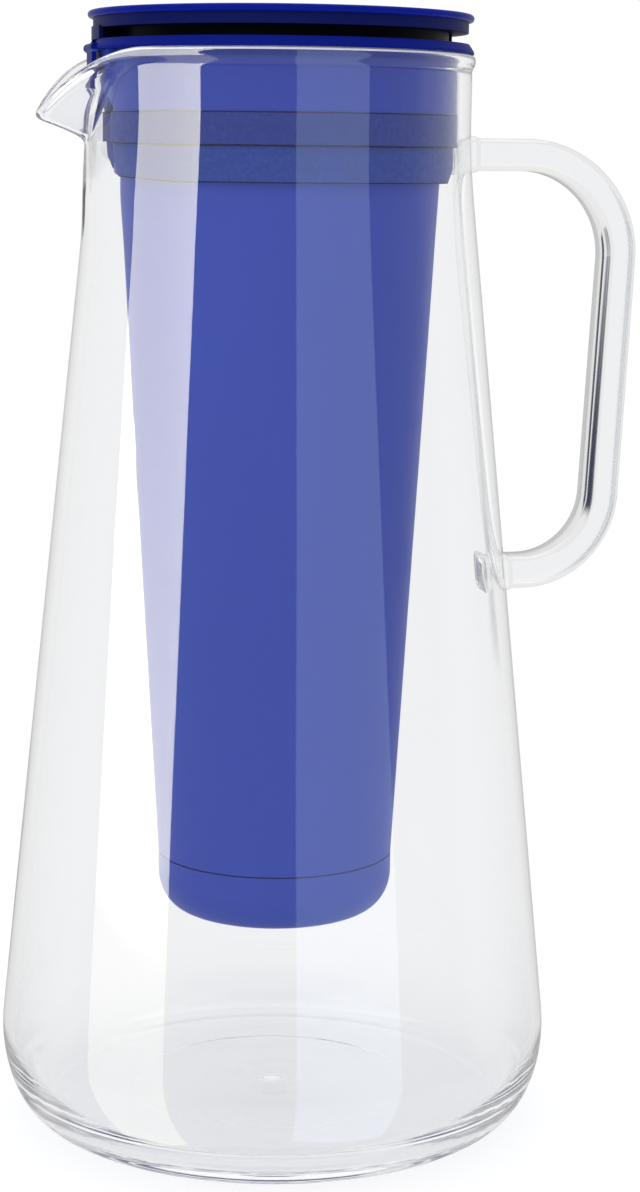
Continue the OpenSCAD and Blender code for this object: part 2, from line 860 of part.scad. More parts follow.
module potting_disc() {
    color([0.93, 0.86, 0.68])
        disc(housing_in_r, socket_top + foot_t, housing_foot);
}

module fibre_bundle() {
    dome = fibre_r / 2;
    top = housing_top - fibre_top_gap;
    color([0.95, 0.95, 0.93])
        rotate_extrude()
            polygon(concat(
                [[0, housing_foot], [fibre_r, housing_foot]],
                [for (i = [0 : corner_steps])
                    let (a = 90 * i / corner_steps)
                        [fibre_r - dome * (1 - cos(a)), top - dome * (1 - sin(a))]],
                [[0, top]]
            ));
}

module inlet_mesh() {
    color([0.75, 0.78, 0.82])
        ring(housing_in_r - mesh_t, housing_in_r, housing_foot, housing_top);
}

module cartridge_housing() {
    color([0.82, 0.86, 0.93])
        difference() {
            ring(housing_in_r, cartridge_r, housing_foot, housing_top);
            for (i = [0 : window_count - 1])
                rotate([0, 0, 360 * i / window_count])
                    translate([housing_in_r / 2, -window_w / 2, housing_foot + window_margin])
                        cube([cartridge_r, window_w, housing_h - 2 * window_margin]);
        }
}

module cartridge_cap() {
    color([0.16, 0.28, 0.72])
        union() {
            disc(cartridge_r, housing_top, cartridge_top);
            translate([-grip_l / 2, -grip_t / 2, cartridge_top - eps])
                cube([grip_l, grip_t, grip_h - grip_t / 2 + eps]);
            translate([-grip_l / 2, 0, cartridge_top + grip_h - grip_t / 2])
                rotate([0, 90, 0])
                    cylinder(h = grip_l, r = grip_t / 2, $fn = small_fn);
        }
}

glass_body();
glass_handle();
reservoir_shell();
collar_ring();
upper_neck_seal();
lower_neck_seal();
flap_pin();
spout_flap();
lid_top();
lid_base();
lid_gasket();
bottom_cap();
cap_gasket();
carbon_case();
carbon_case_lid();
carbon_media();
felt_pad_lower();
felt_pad_upper();
cartridge_base();
cartridge_o_ring();
potting_disc();
fibre_bundle();
inlet_mesh();
cartridge_housing();
cartridge_cap();
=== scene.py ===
"""Studio scene of a water filter pitcher: a conical glass jug with a blue filter insert."""
import logging
import math
from dataclasses import dataclass
from enum import Enum

import bpy
import numpy as np
from mathutils import Matrix, Vector


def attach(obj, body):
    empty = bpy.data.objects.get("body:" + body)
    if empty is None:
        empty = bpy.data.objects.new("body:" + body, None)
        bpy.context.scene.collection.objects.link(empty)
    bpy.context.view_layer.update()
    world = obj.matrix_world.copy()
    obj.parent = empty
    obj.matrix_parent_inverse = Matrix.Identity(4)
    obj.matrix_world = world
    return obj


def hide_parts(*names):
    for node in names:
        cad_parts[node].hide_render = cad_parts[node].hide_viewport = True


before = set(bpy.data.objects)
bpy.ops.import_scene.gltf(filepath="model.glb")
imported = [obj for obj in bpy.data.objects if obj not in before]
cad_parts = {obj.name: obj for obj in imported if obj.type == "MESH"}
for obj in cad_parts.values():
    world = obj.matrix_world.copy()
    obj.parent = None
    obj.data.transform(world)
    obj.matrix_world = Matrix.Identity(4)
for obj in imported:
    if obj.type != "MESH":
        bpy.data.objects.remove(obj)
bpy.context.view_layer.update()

MM = 0.001
GLASS_ONLY = "glass_only"
RISE, FALL = (0.0, 1.0), (1.0, 0.0)
WHITE = (1.0, 1.0, 1.0, 1.0)
COLORS = ("Color", "Inside", "Outside", "Light", "Dark")
Color = tuple[float, float, float]
Span = tuple[float, float]
Face = tuple[int, ...]
Names = tuple[str, ...]
Mound = tuple[float, float, float]
Socket = bpy.types.NodeSocket
Outputs = bpy.types.NodeOutputs
NodeTree = bpy.types.NodeTree
Material = bpy.types.Material
Piece = bpy.types.Object
log = logging.getLogger("pitcher")


class Body(Enum):
    """Moving bodies of the pitcher that new pieces ride on."""

    JUG = "jug"
    FILTER_CAP = "filter_cap"
    CARTRIDGE = "cartridge"


class Slot(Enum):
    """Finishes that the record names."""

    CLEAR_GLASS = "clear_glass"
    HANDLE_GLASS = "handle_glass"
    FELT = "felt"
    FIBRE = "fibre"


class Ray(Enum):
    """Light Path outputs that the glass and the studio tell apart."""

    CAMERA = "Is Camera Ray"
    SHADOW = "Is Shadow Ray"
    DIFFUSE = "Is Diffuse Ray"
    REFLECTED = "Is Reflection Ray"
    TRANSMITTED = "Is Transmission Ray"
    MIRRORED = "Glossy Depth"


class Use(Enum):
    """What a lamp is for."""

    GLINT = "reflections only"
    FILL = "plain light only"
    BOTH = "light and reflections"


class Tree:
    """Adds and links the nodes of one node tree."""

    def __init__(self, tree: NodeTree) -> None:
        """Takes the tree and empties it."""
        self.tree = tree
        tree.nodes.clear()

    def add(self, kind: str, inputs: dict | None = None, **options: object) -> bpy.types.Node:
        """Adds a node.

        Args:
            kind: Blender's name of the node type, without ShaderNode at its start.
            inputs: Values or output sockets for the node's inputs, by name or number.
            options: Properties of the node itself.

        Returns:
            The new node.
        """
        node = self.tree.nodes.new(kind if kind.startswith("NodeGroup") else "ShaderNode" + kind)
        for option, value in options.items():
            setattr(node, option, value)
        for key, value in (inputs or {}).items():
            if isinstance(value, Socket):
                self.tree.links.new(value, node.inputs[key])
            else:
                node.inputs[key].default_value = value
        return node

    def math(self, how: str, a: object, b: object = 0.0, clamp: bool = False) -> Socket:
        """Result of an operation on two values or sockets, kept between 0 and 1 if clamped."""
        return self.add("Math", {0: a, 1: b}, operation=how, use_clamp=clamp).outputs[0]

    def times(self, a: object, b: object) -> Socket:
        """Product of two values or sockets."""
        return self.math("MULTIPLY", a, b)

    def remap(self, value: object, span: Span, to: Span, how: str = "LINEAR") -> Socket:
        """Maps a value from one span to another.

        Args:
            value: The value or socket.
            span: The two ends of the value's span.
            to: What those ends become.
            how: Kind of ramp between them.

        Returns:
            The mapped value.
        """
        names = ("From Min", "From Max", "To Min", "To Max")
        inputs = {"Value": value, **dict(zip(names, (*span, *to)))}
        return self.add("MapRange", inputs, interpolation_type=how).outputs[0]

    def ramp(self, value: object, span: Span, to: Span = RISE) -> Socket:
        """Ramp that eases in and out across a span."""
        return self.remap(value, span, to, "SMOOTHSTEP")

    def noise(self, where: Socket, scale: object, detail: float = 2.0) -> Socket:
        """Noise with so many waves per metre and finer layers."""
        return self.add("TexNoise", {"Vector": where, "Scale": scale, "Detail": detail}).outputs[0]

    def tint(self, how: str, share: object, a: object, b: object) -> Socket:
        """Blends two colours in a way, with a share of the second one."""
        return self.add("Mix", {0: share, 6: a, 7: b}, data_type="RGBA", blend_type=how).outputs[2]

    def gray(self, level: object) -> Socket:
        """Gray of a level."""
        return self.add("CombineColor", {0: level, 1: level, 2: level}).outputs[0]

    def spot(self) -> Socket:
        """Place on the piece, in metres."""
        return self.add("TexCoord").outputs["Object"]

    def parts(self, vector: Socket) -> Outputs:
        """X, Y and Z of a vector."""
        return self.add("SeparateXYZ", {0: vector}).outputs

    def vector(self, how: str, a: Socket, b: object = (0.0, 0.0, 0.0)) -> Outputs:
        """Vector and Value of an operation on two vectors."""
        return self.add("VectorMath", {0: a, 1: b}, operation=how).outputs

    def drawn(self, where: Socket, share: float) -> Socket:
        """Coordinates for a pattern that is drawn out upwards."""
        return self.add("Mapping", {"Vector": where, "Scale": (1.0, 1.0, share)}).outputs[0]

    def bump(self, height: Socket, strength: float, depth: float) -> Socket:
        """Normal of a relief."""
        return self.add("Bump", {"Height": height, "Strength": strength, "Distance": depth}).outputs[0]

    def group(self, group: NodeTree, inputs: dict) -> Outputs:
        """Places a shared effect and returns its outputs."""
        return self.add("Group", inputs, node_tree=group).outputs

    def glow(self, color: object, strength: object = 1.0) -> Socket:
        """A surface that gives light."""
        return self.add("Emission", {"Color": color, "Strength": strength}).outputs[0]

    def blend(self, gate: object, shader: Socket, other: Socket) -> Socket:
        """Goes from one shader to another as the gate opens."""
        return self.add("MixShader", {0: gate, 1: shader, 2: other}).outputs[0]


def rgba(color: Color) -> tuple[float, float, float, float]:
    """The colour with full alpha."""
    return (*color, 1.0)


def shared(name: str, inputs: Names, outputs: Names) -> tuple[NodeTree, Tree | None]:
    """Finds or starts the node group of an effect that finishes share.

    Args:
        name: The group's name.
        inputs: Names of its inputs.
        outputs: Names of its outputs.

    Returns:
        The group, and a helper to fill it if it is new.
    """
    old = bpy.data.node_groups.get(name)
    if old is not None:
        return old, None
    group = bpy.data.node_groups.new(name, "ShaderNodeTree")
    for direction, sockets in (("INPUT", inputs), ("OUTPUT", outputs)):
        for socket in sockets:
            kind = "NodeSocketColor" if socket in COLORS else "NodeSocketFloat"
            group.interface.new_socket(socket, in_out=direction, socket_type=kind)
    return group, Tree(group)


def moulded_skin() -> NodeTree:
    """Flow pattern and fine orange peel of a moulded or ground skin.

    Returns:
        The group.
    """
    takes = ("Color", "Spread", "Roughness", "Peel Scale")
    group, tree = shared("moulded_skin", takes, ("Color", "Roughness", "Height"))
    if tree is None:
        return group
    flow_scale, flow_draw, flow_detail = 26.0, 0.35, 4.0
    speck_scale, speck_share, middle, rough_share = 420.0, 0.35, 0.675, 0.18
    given = tree.add("NodeGroupInput").outputs
    where = tree.spot()
    flow = tree.noise(tree.drawn(where, flow_draw), flow_scale, flow_detail)
    speck = tree.times(tree.noise(where, speck_scale), speck_share)
    swing = tree.math("SUBTRACT", tree.math("ADD", flow, speck), middle)
    level = tree.math("ADD", 1.0, tree.times(swing, given["Spread"]))
    color = tree.tint("MULTIPLY", 1.0, given["Color"], tree.gray(level))
    rough = tree.math("ADD", given["Roughness"], tree.times(swing, rough_share), True)
    peel = tree.noise(where, given["Peel Scale"])
    tree.add("NodeGroupOutput", {"Color": color, "Roughness": rough, "Height": peel})
    return group


def painted_shade_split() -> NodeTree:
    """One colour inside a radius and below a height, another elsewhere: a split that paints shade.

    Returns:
        The group.
    """
    group, tree = shared("painted_shade_split", ("Inside", "Outside", "Radius", "Height"), ("Color",))
    if tree is None:
        return group
    given = tree.add("NodeGroupInput").outputs
    where = tree.spot()
    level = tree.vector("MULTIPLY", where, (1.0, 1.0, 0.0))["Vector"]
    near = tree.math("LESS_THAN", tree.vector("LENGTH", level)["Value"], given["Radius"])
    low = tree.math("LESS_THAN", tree.parts(where)["Z"], given["Height"])
    color = tree.tint("MIX", tree.times(near, low), given["Outside"], given["Inside"])
    tree.add("NodeGroupOutput", {"Color": color})
    return group


def glass_wave() -> NodeTree:
    """Slow waves and faint smears of blown glass.

    Returns:
        The group.
    """
    group, tree = shared("glass_wave", ("Wave Scale",), ("Height", "Roughness"))
    if tree is None:
        return group
    wave_draw, smear_scale, smear_detail, smear_span, smear_rough = 0.22, 46.0, 5.0, (0.5, 0.8), 0.035
    given = tree.add("NodeGroupInput").outputs
    where = tree.spot()
    wave = tree.noise(tree.drawn(where, wave_draw), given["Wave Scale"], 1.0)
    smear = tree.remap(tree.noise(where, smear_scale, smear_detail), smear_span, (0.0, smear_rough))
    tree.add("NodeGroupOutput", {"Height": wave, "Roughness": smear})
    return group


def grain() -> NodeTree:
    """Fine two-tone grain of felt, granules, resin and rubber.

    Returns:
        The group.
    """
    group, tree = shared("grain", ("Light", "Dark", "Scale", "Roughness"), ("Color", "Roughness", "Height"))
    if tree is None:
        return group
    detail, evened, tone_span, rough_share = 4.0, 0.6, (0.25, 0.75), 0.2
    given = tree.add("NodeGroupInput").outputs
    where = tree.spot()
    fine = tree.noise(where, given["Scale"], detail)
    cells = tree.add("TexVoronoi", {"Vector": where, "Scale": given["Scale"]}).outputs["Distance"]
    both = tree.math("MULTIPLY", tree.math("ADD", fine, cells), evened, True)
    color = tree.tint("MIX", tree.ramp(both, tone_span), given["Light"], given["Dark"])
    swing = tree.times(tree.math("SUBTRACT", fine, 0.5), rough_share)
    rough = tree.math("ADD", given["Roughness"], swing, True)
    tree.add("NodeGroupOutput", {"Color": color, "Roughness": rough, "Height": both})
    return group


def weave() -> NodeTree:
    """Square weave around a sleeve.

    Returns:
        The group.
    """
    group, tree = shared("weave", ("Radius", "Pitch", "Color"), ("Color", "Height", "Thread"))
    if tree is None:
        return group
    thread_span, shade = (0.45, 0.7), 0.5
    given = tree.add("NodeGroupInput").outputs
    parts = tree.parts(tree.spot())
    round_way = tree.times(tree.math("ARCTAN2", parts["Y"], parts["X"]), given["Radius"])
    threads = []
    for way in (round_way, parts["Z"]):
        phase = tree.times(tree.math("DIVIDE", way, given["Pitch"]), math.tau)
        threads.append(tree.times(tree.math("ADD", tree.math("COSINE", phase), 1.0), 0.5))
    high = tree.math("MAXIMUM", *threads)
    color = tree.tint("MULTIPLY", shade, given["Color"], tree.gray(high))
    thread = tree.ramp(high, thread_span)
    tree.add("NodeGroupOutput", {"Color": color, "Height": high, "Thread": thread})
    return group


def new_material(name: str) -> tuple[Material, Tree]:
    """Starts an empty node material.

    Args:
        name: The material's name.

    Returns:
        The material and a helper to fill it.
    """
    material = bpy.data.materials.new(name)
    material.use_nodes = True
    return material, Tree(material.node_tree)


@dataclass(frozen=True)
class Finish:
    """A material that is one plain shader."""

    name: str

    def values(self, tree: Tree) -> dict:
        """Values and sockets for the shader's inputs."""
        raise NotImplementedError

    def passing(self, tree: Tree, shader: Socket) -> Socket:
        """The shader with what it lets pass: nothing, unless a finish says so."""
        return shader

    def make(self) -> Material:
        """Builds the material.

        Returns:
            The material.
        """
        material, tree = new_material(self.name)
        shader = tree.add("BsdfPrincipled", self.values(tree)).outputs[0]
        tree.add("OutputMaterial", {"Surface": self.passing(tree, shader)})
        return material


@dataclass(frozen=True)
class Skinned(Finish):
    """Moulded plastic or ground steel with a faint pattern and a fine skin; a second colour may lie inside, a
    split that paints shade.
    """

    color: Color
    roughness: float = 0.3
    spread: float = 0.22
    peel_scale: float = 1300.0
    peel: float = 0.05
    peel_depth: float = 0.0004
    ior: float = 1.5
    metal: float = 0.0
    shine: float = 0.5
    inside: Color | None = None
    inside_r: float = 1.0
    inside_z: float = 0.0

    def values(self, tree: Tree) -> dict:
        """Lays the colour, split by painted shade where a second colour is given, under the skin.

        Args:
            tree: The material's helper.

        Returns:
            The shader's inputs.
        """
        color: object = rgba(self.color)
        # A second colour inside a radius and below a height paints shade on the piece.
        if self.inside is not None:
            tones = {"Inside": rgba(self.inside), "Outside": color,
                     "Radius": self.inside_r, "Height": self.inside_z}
            color = tree.group(painted_shade_split(), tones)["Color"]
        values = {"Color": color, "Spread": self.spread,
                  "Roughness": self.roughness, "Peel Scale": self.peel_scale}
        skin = tree.group(moulded_skin(), values)
        inputs = {"Base Color": skin["Color"], "Roughness": skin["Roughness"]}
        inputs |= {"Normal": tree.bump(skin["Height"], self.peel, self.peel_depth)}
        return inputs | {"IOR": self.ior, "Metallic": self.metal, "Specular IOR Level": self.shine}


@dataclass(frozen=True)
class ClearGlass(Finish):
    """Clear glass with slow waves, which lets lamp light through to what is inside."""

    tint: Color = (0.962, 0.966, 0.972)
    shade: Color = (0.9, 0.91, 0.925)
    ior: float = 1.47
    wave_scale: float = 34.0
    wave: float = 0.06
    wave_depth: float = 0.002

    def values(self, tree: Tree) -> dict:
        """Lays the waves over the glass.

        Args:
            tree: The material's helper.

        Returns:
            The shader's inputs.
        """
        skin = tree.group(glass_wave(), {"Wave Scale": self.wave_scale})
        inputs = {"Base Color": rgba(self.tint), "Roughness": skin["Roughness"]}
        inputs |= {"Normal": tree.bump(skin["Height"], self.wave, self.wave_depth)}
        return inputs | {"IOR": self.ior, "Transmission Weight": 1.0, "Metallic": 0.0}

    def passing(self, tree: Tree, shader: Socket) -> Socket:
        """Lets shadow rays and soft light pass straight through.

        Args:
            tree: The material's helper.
            shader: The glass.

        Returns:
            The shader for all rays.
        """
        path = tree.add("LightPath").outputs
        for ray in (Ray.DIFFUSE, Ray.SHADOW):
            clear = tree.add("BsdfTransparent", {"Color": rgba(self.shade)}).outputs[0]
            shader = tree.blend(path[ray.value], shader, clear)
        return shader


@dataclass(frozen=True)
class Grained(Finish):
    """Matt material with a fine two-tone grain, and thin dark bands of painted shadow at given heights."""

    light: Color
    dark: Color
    scale: float
    roughness: float = 0.7
    bump: float = 0.3
    depth: float = 0.0005
    sheen: float = 0.0
    shine: float = 0.5
    # Painted shadow: thin dark bands at given heights, with their half width and colour.
    shadow_bands: tuple[float, ...] = ()
    band_half: float = 0.00015
    line: Color = (0.006, 0.01, 0.05)

    def values(self, tree: Tree) -> dict:
        """Draws the painted shadow bands over the grain.

        Args:
            tree: The material's helper.

        Returns:
            The shader's inputs.
        """
        values = {"Light": rgba(self.light), "Dark": rgba(self.dark),
                  "Scale": self.scale, "Roughness": self.roughness}
        skin = tree.group(grain(), values)
        color = skin["Color"]
        # Each band darkens the colour towards line, as painted shadow.
        for z in self.shadow_bands:
            gap = tree.math("ABSOLUTE", tree.math("SUBTRACT", tree.parts(tree.spot())["Z"], z))
            mask = tree.ramp(gap, (self.band_half, 2.0 * self.band_half), FALL)
            color = tree.tint("MIX", mask, color, rgba(self.line))
        inputs = {"Base Color": color, "Roughness": skin["Roughness"]}
        inputs |= {"Normal": tree.bump(skin["Height"], self.bump, self.depth)}
        return inputs | {"Sheen Weight": self.sheen, "Specular IOR Level": self.shine}


@dataclass(frozen=True)
class WovenMesh(Finish):
    """Open square mesh around the fibre filter; sizes in metres."""

    color: Color = (0.62, 0.66, 0.72)
    roughness: float = 0.55
    radius: float = 0.0219
    pitch: float = 0.0011
    bump: float = 0.5
    depth: float = 0.0003

    def values(self, tree: Tree) -> dict:
        """Leaves the mesh open between the threads.

        Args:
            tree: The material's helper.

        Returns:
            The shader's inputs.
        """
        values = {"Radius": self.radius, "Pitch": self.pitch, "Color": rgba(self.color)}
        skin = tree.group(weave(), values)
        inputs = {"Base Color": skin["Color"], "Alpha": skin["Thread"], "Roughness": self.roughness}
        return inputs | {"Normal": tree.bump(skin["Height"], self.bump, self.depth)}


def mesh_object(name: str, verts: np.ndarray, faces: list[Face], material: Material) -> Piece:
    """Makes a smooth-shaded object.

    Args:
        name: The object's name.
        verts: Points in millimetres.
        faces: Corner numbers of each face.
        material: Its material.

    Returns:
        The new object.
    """
    mesh = bpy.data.meshes.new(name)
    mesh.from_pydata((np.asarray(verts) * MM).tolist(), [], faces)
    mesh.materials.append(material)
    mesh.shade_smooth()
    mesh.update()
    piece = bpy.data.objects.new(name, mesh)
    bpy.context.scene.collection.objects.link(piece)
    return piece


def adopt(piece: Piece, body: Body, slot: Slot, *nodes: str) -> None:
    """Puts a new piece on its body and hides the CAD nodes that it stands for.

    Args:
        piece: The piece.
        body: The body it moves with.
        slot: The record's finish that it takes; not used.
        nodes: The CAD nodes that it stands for.
    """
    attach(piece, body.value)
    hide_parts(*nodes)
    log.info("%s stands for %s, %d faces", piece.name, ", ".join(nodes), len(piece.data.polygons))


def dress(finish: Finish, *nodes: str) -> None:
    """Gives CAD nodes a material.

    Args:
        finish: The finish.
        nodes: Names of the nodes.
    """
    material = finish.make()
    for name in nodes:
        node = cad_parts[name]
        if not node.material_slots:
            node.data.materials.append(material)
        for place in node.material_slots:
            place.material = material
        log.info("%s wears %s", name, material.name)


def quads(rows: int, count: int, start: int = 0) -> list[Face]:
    """Faces between rings that follow each other.

    Args:
        rows: How many rings there are.
        count: Points on a ring.
        start: Number of the first point.

    Returns:
        The faces.
    """
    faces = []
    for low in range(start, start + (rows - 1) * count, count):
        for j in range(count):
            k = (j + 1) % count
            faces.append((low + j, low + k, low + count + k, low + count + j))
    return faces


def closed(rows: int, count: int) -> list[Face]:
    """Faces between rings, and fans to the two points that follow them, one at each end.

    Args:
        rows: How many rings there are.
        count: Points on a ring.

    Returns:
        The faces.
    """
    faces = quads(rows, count)
    first = rows * count
    for j in range(count):
        k = (j + 1) % count
        faces += [(first, k, j), (first - count + j, first - count + k, first + 1)]
    return faces


def flipped(faces: list[Face]) -> list[Face]:
    """The faces turned the other way, each from the same first corner."""
    return [(face[0], *face[:0:-1]) for face in faces]


def turned(radius: np.ndarray, height: np.ndarray, turn: np.ndarray) -> tuple[np.ndarray, list[Face]]:
    """Skins rings around the Z axis, with a point at each end of the section.

    Args:
        radius: Radius of each ring at each angle.
        height: Height of each ring at each angle.
        turn: The angles.

    Returns:
        The points and the faces.
    """
    grid = np.stack([radius * np.cos(turn), radius * np.sin(turn), height], axis=-1).reshape(-1, 3)
    ends = np.array([[0.0, 0.0, height[0].mean()], [0.0, 0.0, height[-1].mean()]])
    return np.vstack([grid, ends]), closed(*radius.shape)


def ease(value: np.ndarray | float) -> np.ndarray | float:
    """Smooth step from 0 to 1."""
    part = np.clip(value, 0.0, 1.0)
    return part * part * (3.0 - 2.0 * part)


def mounds(r: float, marks: tuple[Mound, ...]) -> float:
    """Height at a radius of soft round mounds, each with its height, radius and width."""
    return sum(height * math.exp(-(((r - at) / width) ** 2)) for height, at, width in marks)


def unit(rows: np.ndarray) -> np.ndarray:
    """Each row at length 1."""
    return rows / np.linalg.norm(rows, axis=1)[:, None]


@dataclass
class GlassJug:
    """Blown glass jug with a pulled spout and a welded bar handle; sizes in millimetres."""

    rim_z: float = 269.0
    flat_r: float = 57.0
    corner_w: float = 13.0
    corner_h: float = 23.0
    corner_turn: float = 100.0
    wall: float = 3.0
    wall_span: Span = (36.0, 210.0)
    wall_rings: int = 13
    base_t: float = 5.0
    floor_dome: float = 1.2
    dome_r: float = 54.0
    push_up: float = 0.9
    push_r: float = 52.5
    foot_rings: tuple[float, ...] = (
        0.7, 1.4, 2.1, 2.8, 3.6, 4.5, 5.5, 7.0, 8.5, 10.0, 12.0, 15.0, 20.0, 26.0, 31.0)
    mark_rings: tuple[float, ...] = (33.6, 34.8, 35.4, 36.0, 36.6, 37.2, 38.4)
    edge_rings: tuple[float, ...] = (43.0, 47.0, 50.0, 52.5, 55.0)
    foot_marks: tuple[Mound, ...] = ((0.3, 0.0, 3.4), (0.12, 9.0, 2.0), (0.08, 36.0, 0.9))
    floor_rings: tuple[float, ...] = (
        50.0, 44.0, 36.0, 28.0, 20.0, 15.0, 12.0, 10.0, 8.0, 6.5, 5.0, 4.0, 3.0, 2.0, 1.0)
    floor_marks: tuple[Mound, ...] = ((0.28, 0.0, 3.9), (-0.12, 9.5, 2.4))
    cone_top_z: float = 234.0
    neck_z: float = 253.0
    neck_r: float = 47.0
    neck_flare: float = 1.0
    rim_bead: float = 0.8
    bead_drop: float = 2.8
    bead_run: float = 2.2
    lip_h: float = 1.4
    zone_foot: float = 216.0
    spout_reach: float = 12.6
    spout_dip: float = 14.4
    spout_half: float = 35.3
    spout_nose: float = 0.05
    spout_foot_z: float = 246.0
    dip_power: float = 2.2
    pull_power: float = 1.57
    lift_power: float = 1.23
    spout_crease: float = 16.5
    crease_share: float = 0.74
    crease_sharp: float = 0.2
    spout_thin: float = 1.6
    thin_off: Span = (1.3, 0.3)
    thin_z: float = 234.0
    thin_run: float = 14.0
    spout_swell: float = 1.4
    swell_z: float = 220.0
    swell_run: float = 22.0
    slant_most: float = 2.2
    bar_t: float = 8.5
    bar_w: float = 11.5
    bar_edge: float = 2.0
    bar_crown: float = 0.25
    bar_z: float = 245.0
    bar_span: float = 106.0
    bar_slim: float = 0.15
    bend_top: float = 25.0
    bend_low: float = 21.0
    run_top: float = 16.0
    run_low: float = 6.0
    weld: float = 0.5
    weld_len: float = 1.7
    weld_fade: float = 1.3
    weld_flare: float = 0.4
    flare_len: float = 0.9
    weld_gap: float = 0.03
    seat_len: float = 6.0
    bar_tint: Color = (0.845, 0.845, 0.84)
    # Shape of the near-white ring of painted highlight along the rim.
    edge_start: float = 0.55
    edge_run: float = 0.3
    edge_mid: float = 0.5
    edge_arc: Span = (28.0, 64.0)
    edge_skins: Span = (0.05, -0.25)
    rim: np.ndarray | None = None

    def outer_r(self, z: np.ndarray | float) -> np.ndarray | float:
        """Outer radius of the cone and neck, without the spout.

        Args:
            z: A height or several.

        Returns:
            The radius at each height.
        """
        a = math.radians(self.corner_turn)
        foot_r, foot_z = (self.flat_r + self.corner_w * math.sin(a),
                          self.corner_h - self.corner_h * math.cos(a))
        cone = foot_r + (self.neck_r + self.neck_flare - foot_r) * (z - foot_z) / (self.cone_top_z - foot_z)
        fade = np.clip((self.neck_z - z) / (self.neck_z - self.cone_top_z), 0.0, 1.0)
        return np.where(z < self.cone_top_z, cone, self.neck_r + self.neck_flare * fade * fade)

    def angles(self) -> np.ndarray:
        """Angles around the jug, close together at the spout.

        Returns:
            The angles in radians, with the spout at pi.
        """
        half, step, others = 39.0, 0.6, 142
        near = np.arange(-half, half, step)
        far = np.linspace(half, 360.0 - half, others, endpoint=False)
        return np.radians(np.concatenate([near, far]) + 180.0)

    def spout_zone(self, turn: np.ndarray, off: np.ndarray) -> tuple[np.ndarray, np.ndarray, np.ndarray]:
        """Upper wall with the neck, the rim's bead and the pulled spout.

        Args:
            turn: The angles around the jug.
            off: Angle from the spout, as a share of the spout's half width.

        Returns:
            Outer radius, inner radius and height of each ring at each angle.
        """
        soft = np.sqrt(off * off + self.spout_nose**2) - self.spout_nose
        near = np.clip(1.0 - soft, 0.0, 1.0)
        top_z = self.rim_z - self.spout_dip * near**self.dip_power - self.lip_h
        steps = np.concatenate([np.linspace(0.0, 0.5, 10, endpoint=False), np.linspace(0.5, 1.0, 42)])
        z = self.zone_foot + steps[:, None] * (top_z - self.zone_foot)[None, :]
        start = self.spout_foot_z + self.spout_crease * ease(off / self.crease_share)
        climb = np.clip((z - start) / np.maximum(top_z - start, 1.0), 0.0, 1.0)
        lift = ease(climb**self.lift_power)
        pull = near ** (self.pull_power - self.crease_sharp * (1.0 - climb))
        bead = self.rim_bead * ease((z - top_z + self.bead_drop) / self.bead_run)
        swell = self.spout_swell * near**2 * ease((z - self.swell_z) / self.swell_run) * (1.0 - lift)
        outer = self.outer_r(z) + bead + swell + self.spout_reach * pull * lift
        slope_z = np.gradient(outer, axis=0) / np.maximum(np.gradient(z, axis=0), 0.05)
        slope_a = np.gradient(outer, axis=1) / np.gradient(np.unwrap(turn)) / outer
        slant = np.minimum(np.sqrt(1.0 + slope_z**2 + slope_a**2), self.slant_most)
        end, run = self.thin_off
        drawn = self.spout_thin * ease((end - off) / run) * ease((z - self.thin_z) / self.thin_run)
        thick = (self.wall - drawn) * slant + bead * (1.0 - near**self.pull_power)
        return outer, outer - thick, z

    def body(self) -> Piece:
        """Builds the jug as one closed wall, from the middle of its foot to the middle of its floor.

        Returns:
            The jug.
        """
        turn = self.angles()
        off = np.abs(np.degrees(turn) % 360.0 - 180.0) / self.spout_half
        rows_r: list[np.ndarray] = []
        rows_z: list[np.ndarray] = []

        def put(r: object, z: object) -> None:
            """Adds a ring."""
            rows_r.append(np.broadcast_to(np.asarray(r, float), turn.shape))
            rows_z.append(np.broadcast_to(np.asarray(z, float), turn.shape))

        for r in (*self.foot_rings, *self.mark_rings, *self.edge_rings):
            hollow = self.push_up * max(0.0, 1.0 - (r / self.push_r) ** 2) ** 2
            put(r, hollow + mounds(r, self.foot_marks))
        for a in np.radians(np.linspace(0.0, self.corner_turn, 26)):
            put(self.flat_r + self.corner_w * math.sin(a), self.corner_h - self.corner_h * math.cos(a))
        for z in np.linspace(*self.wall_span, self.wall_rings):
            put(self.outer_r(z), z)
        outer, inner, zone_z = self.spout_zone(turn, off)
        for r, z in zip(outer, zone_z):
            put(r, z)
        top_z, middle, half = zone_z[-1], (outer[-1] + inner[-1]) / 2.0, (outer[-1] - inner[-1]) / 2.0
        for a in np.linspace(0.0, math.pi, 10)[1:-1]:
            put(middle + half * math.cos(a), top_z + self.lip_h * math.sin(a))
        for r, z in zip(inner[::-1], zone_z[::-1]):
            put(r, z)
        for z in np.linspace(*self.wall_span[::-1], self.wall_rings):
            put(self.outer_r(z) - self.wall, z)
        flat = self.flat_r - self.wall
        for a in np.radians(np.linspace(self.corner_turn, 4.0, 24)):
            put(flat + self.corner_w * math.sin(a),
                self.corner_h - (self.corner_h - self.base_t) * math.cos(a))
        for r in self.floor_rings:
            put(r, self.base_t + self.floor_dome * (1.0 - (r / self.dome_r) ** 2)
                + mounds(r, self.floor_marks))
        verts, faces = turned(np.array(rows_r), np.array(rows_z), turn)
        self.rim = np.stack([turn, off, middle, half, top_z])
        return mesh_object("jug_glass", verts, faces, ClearGlass("jug_glass").make())

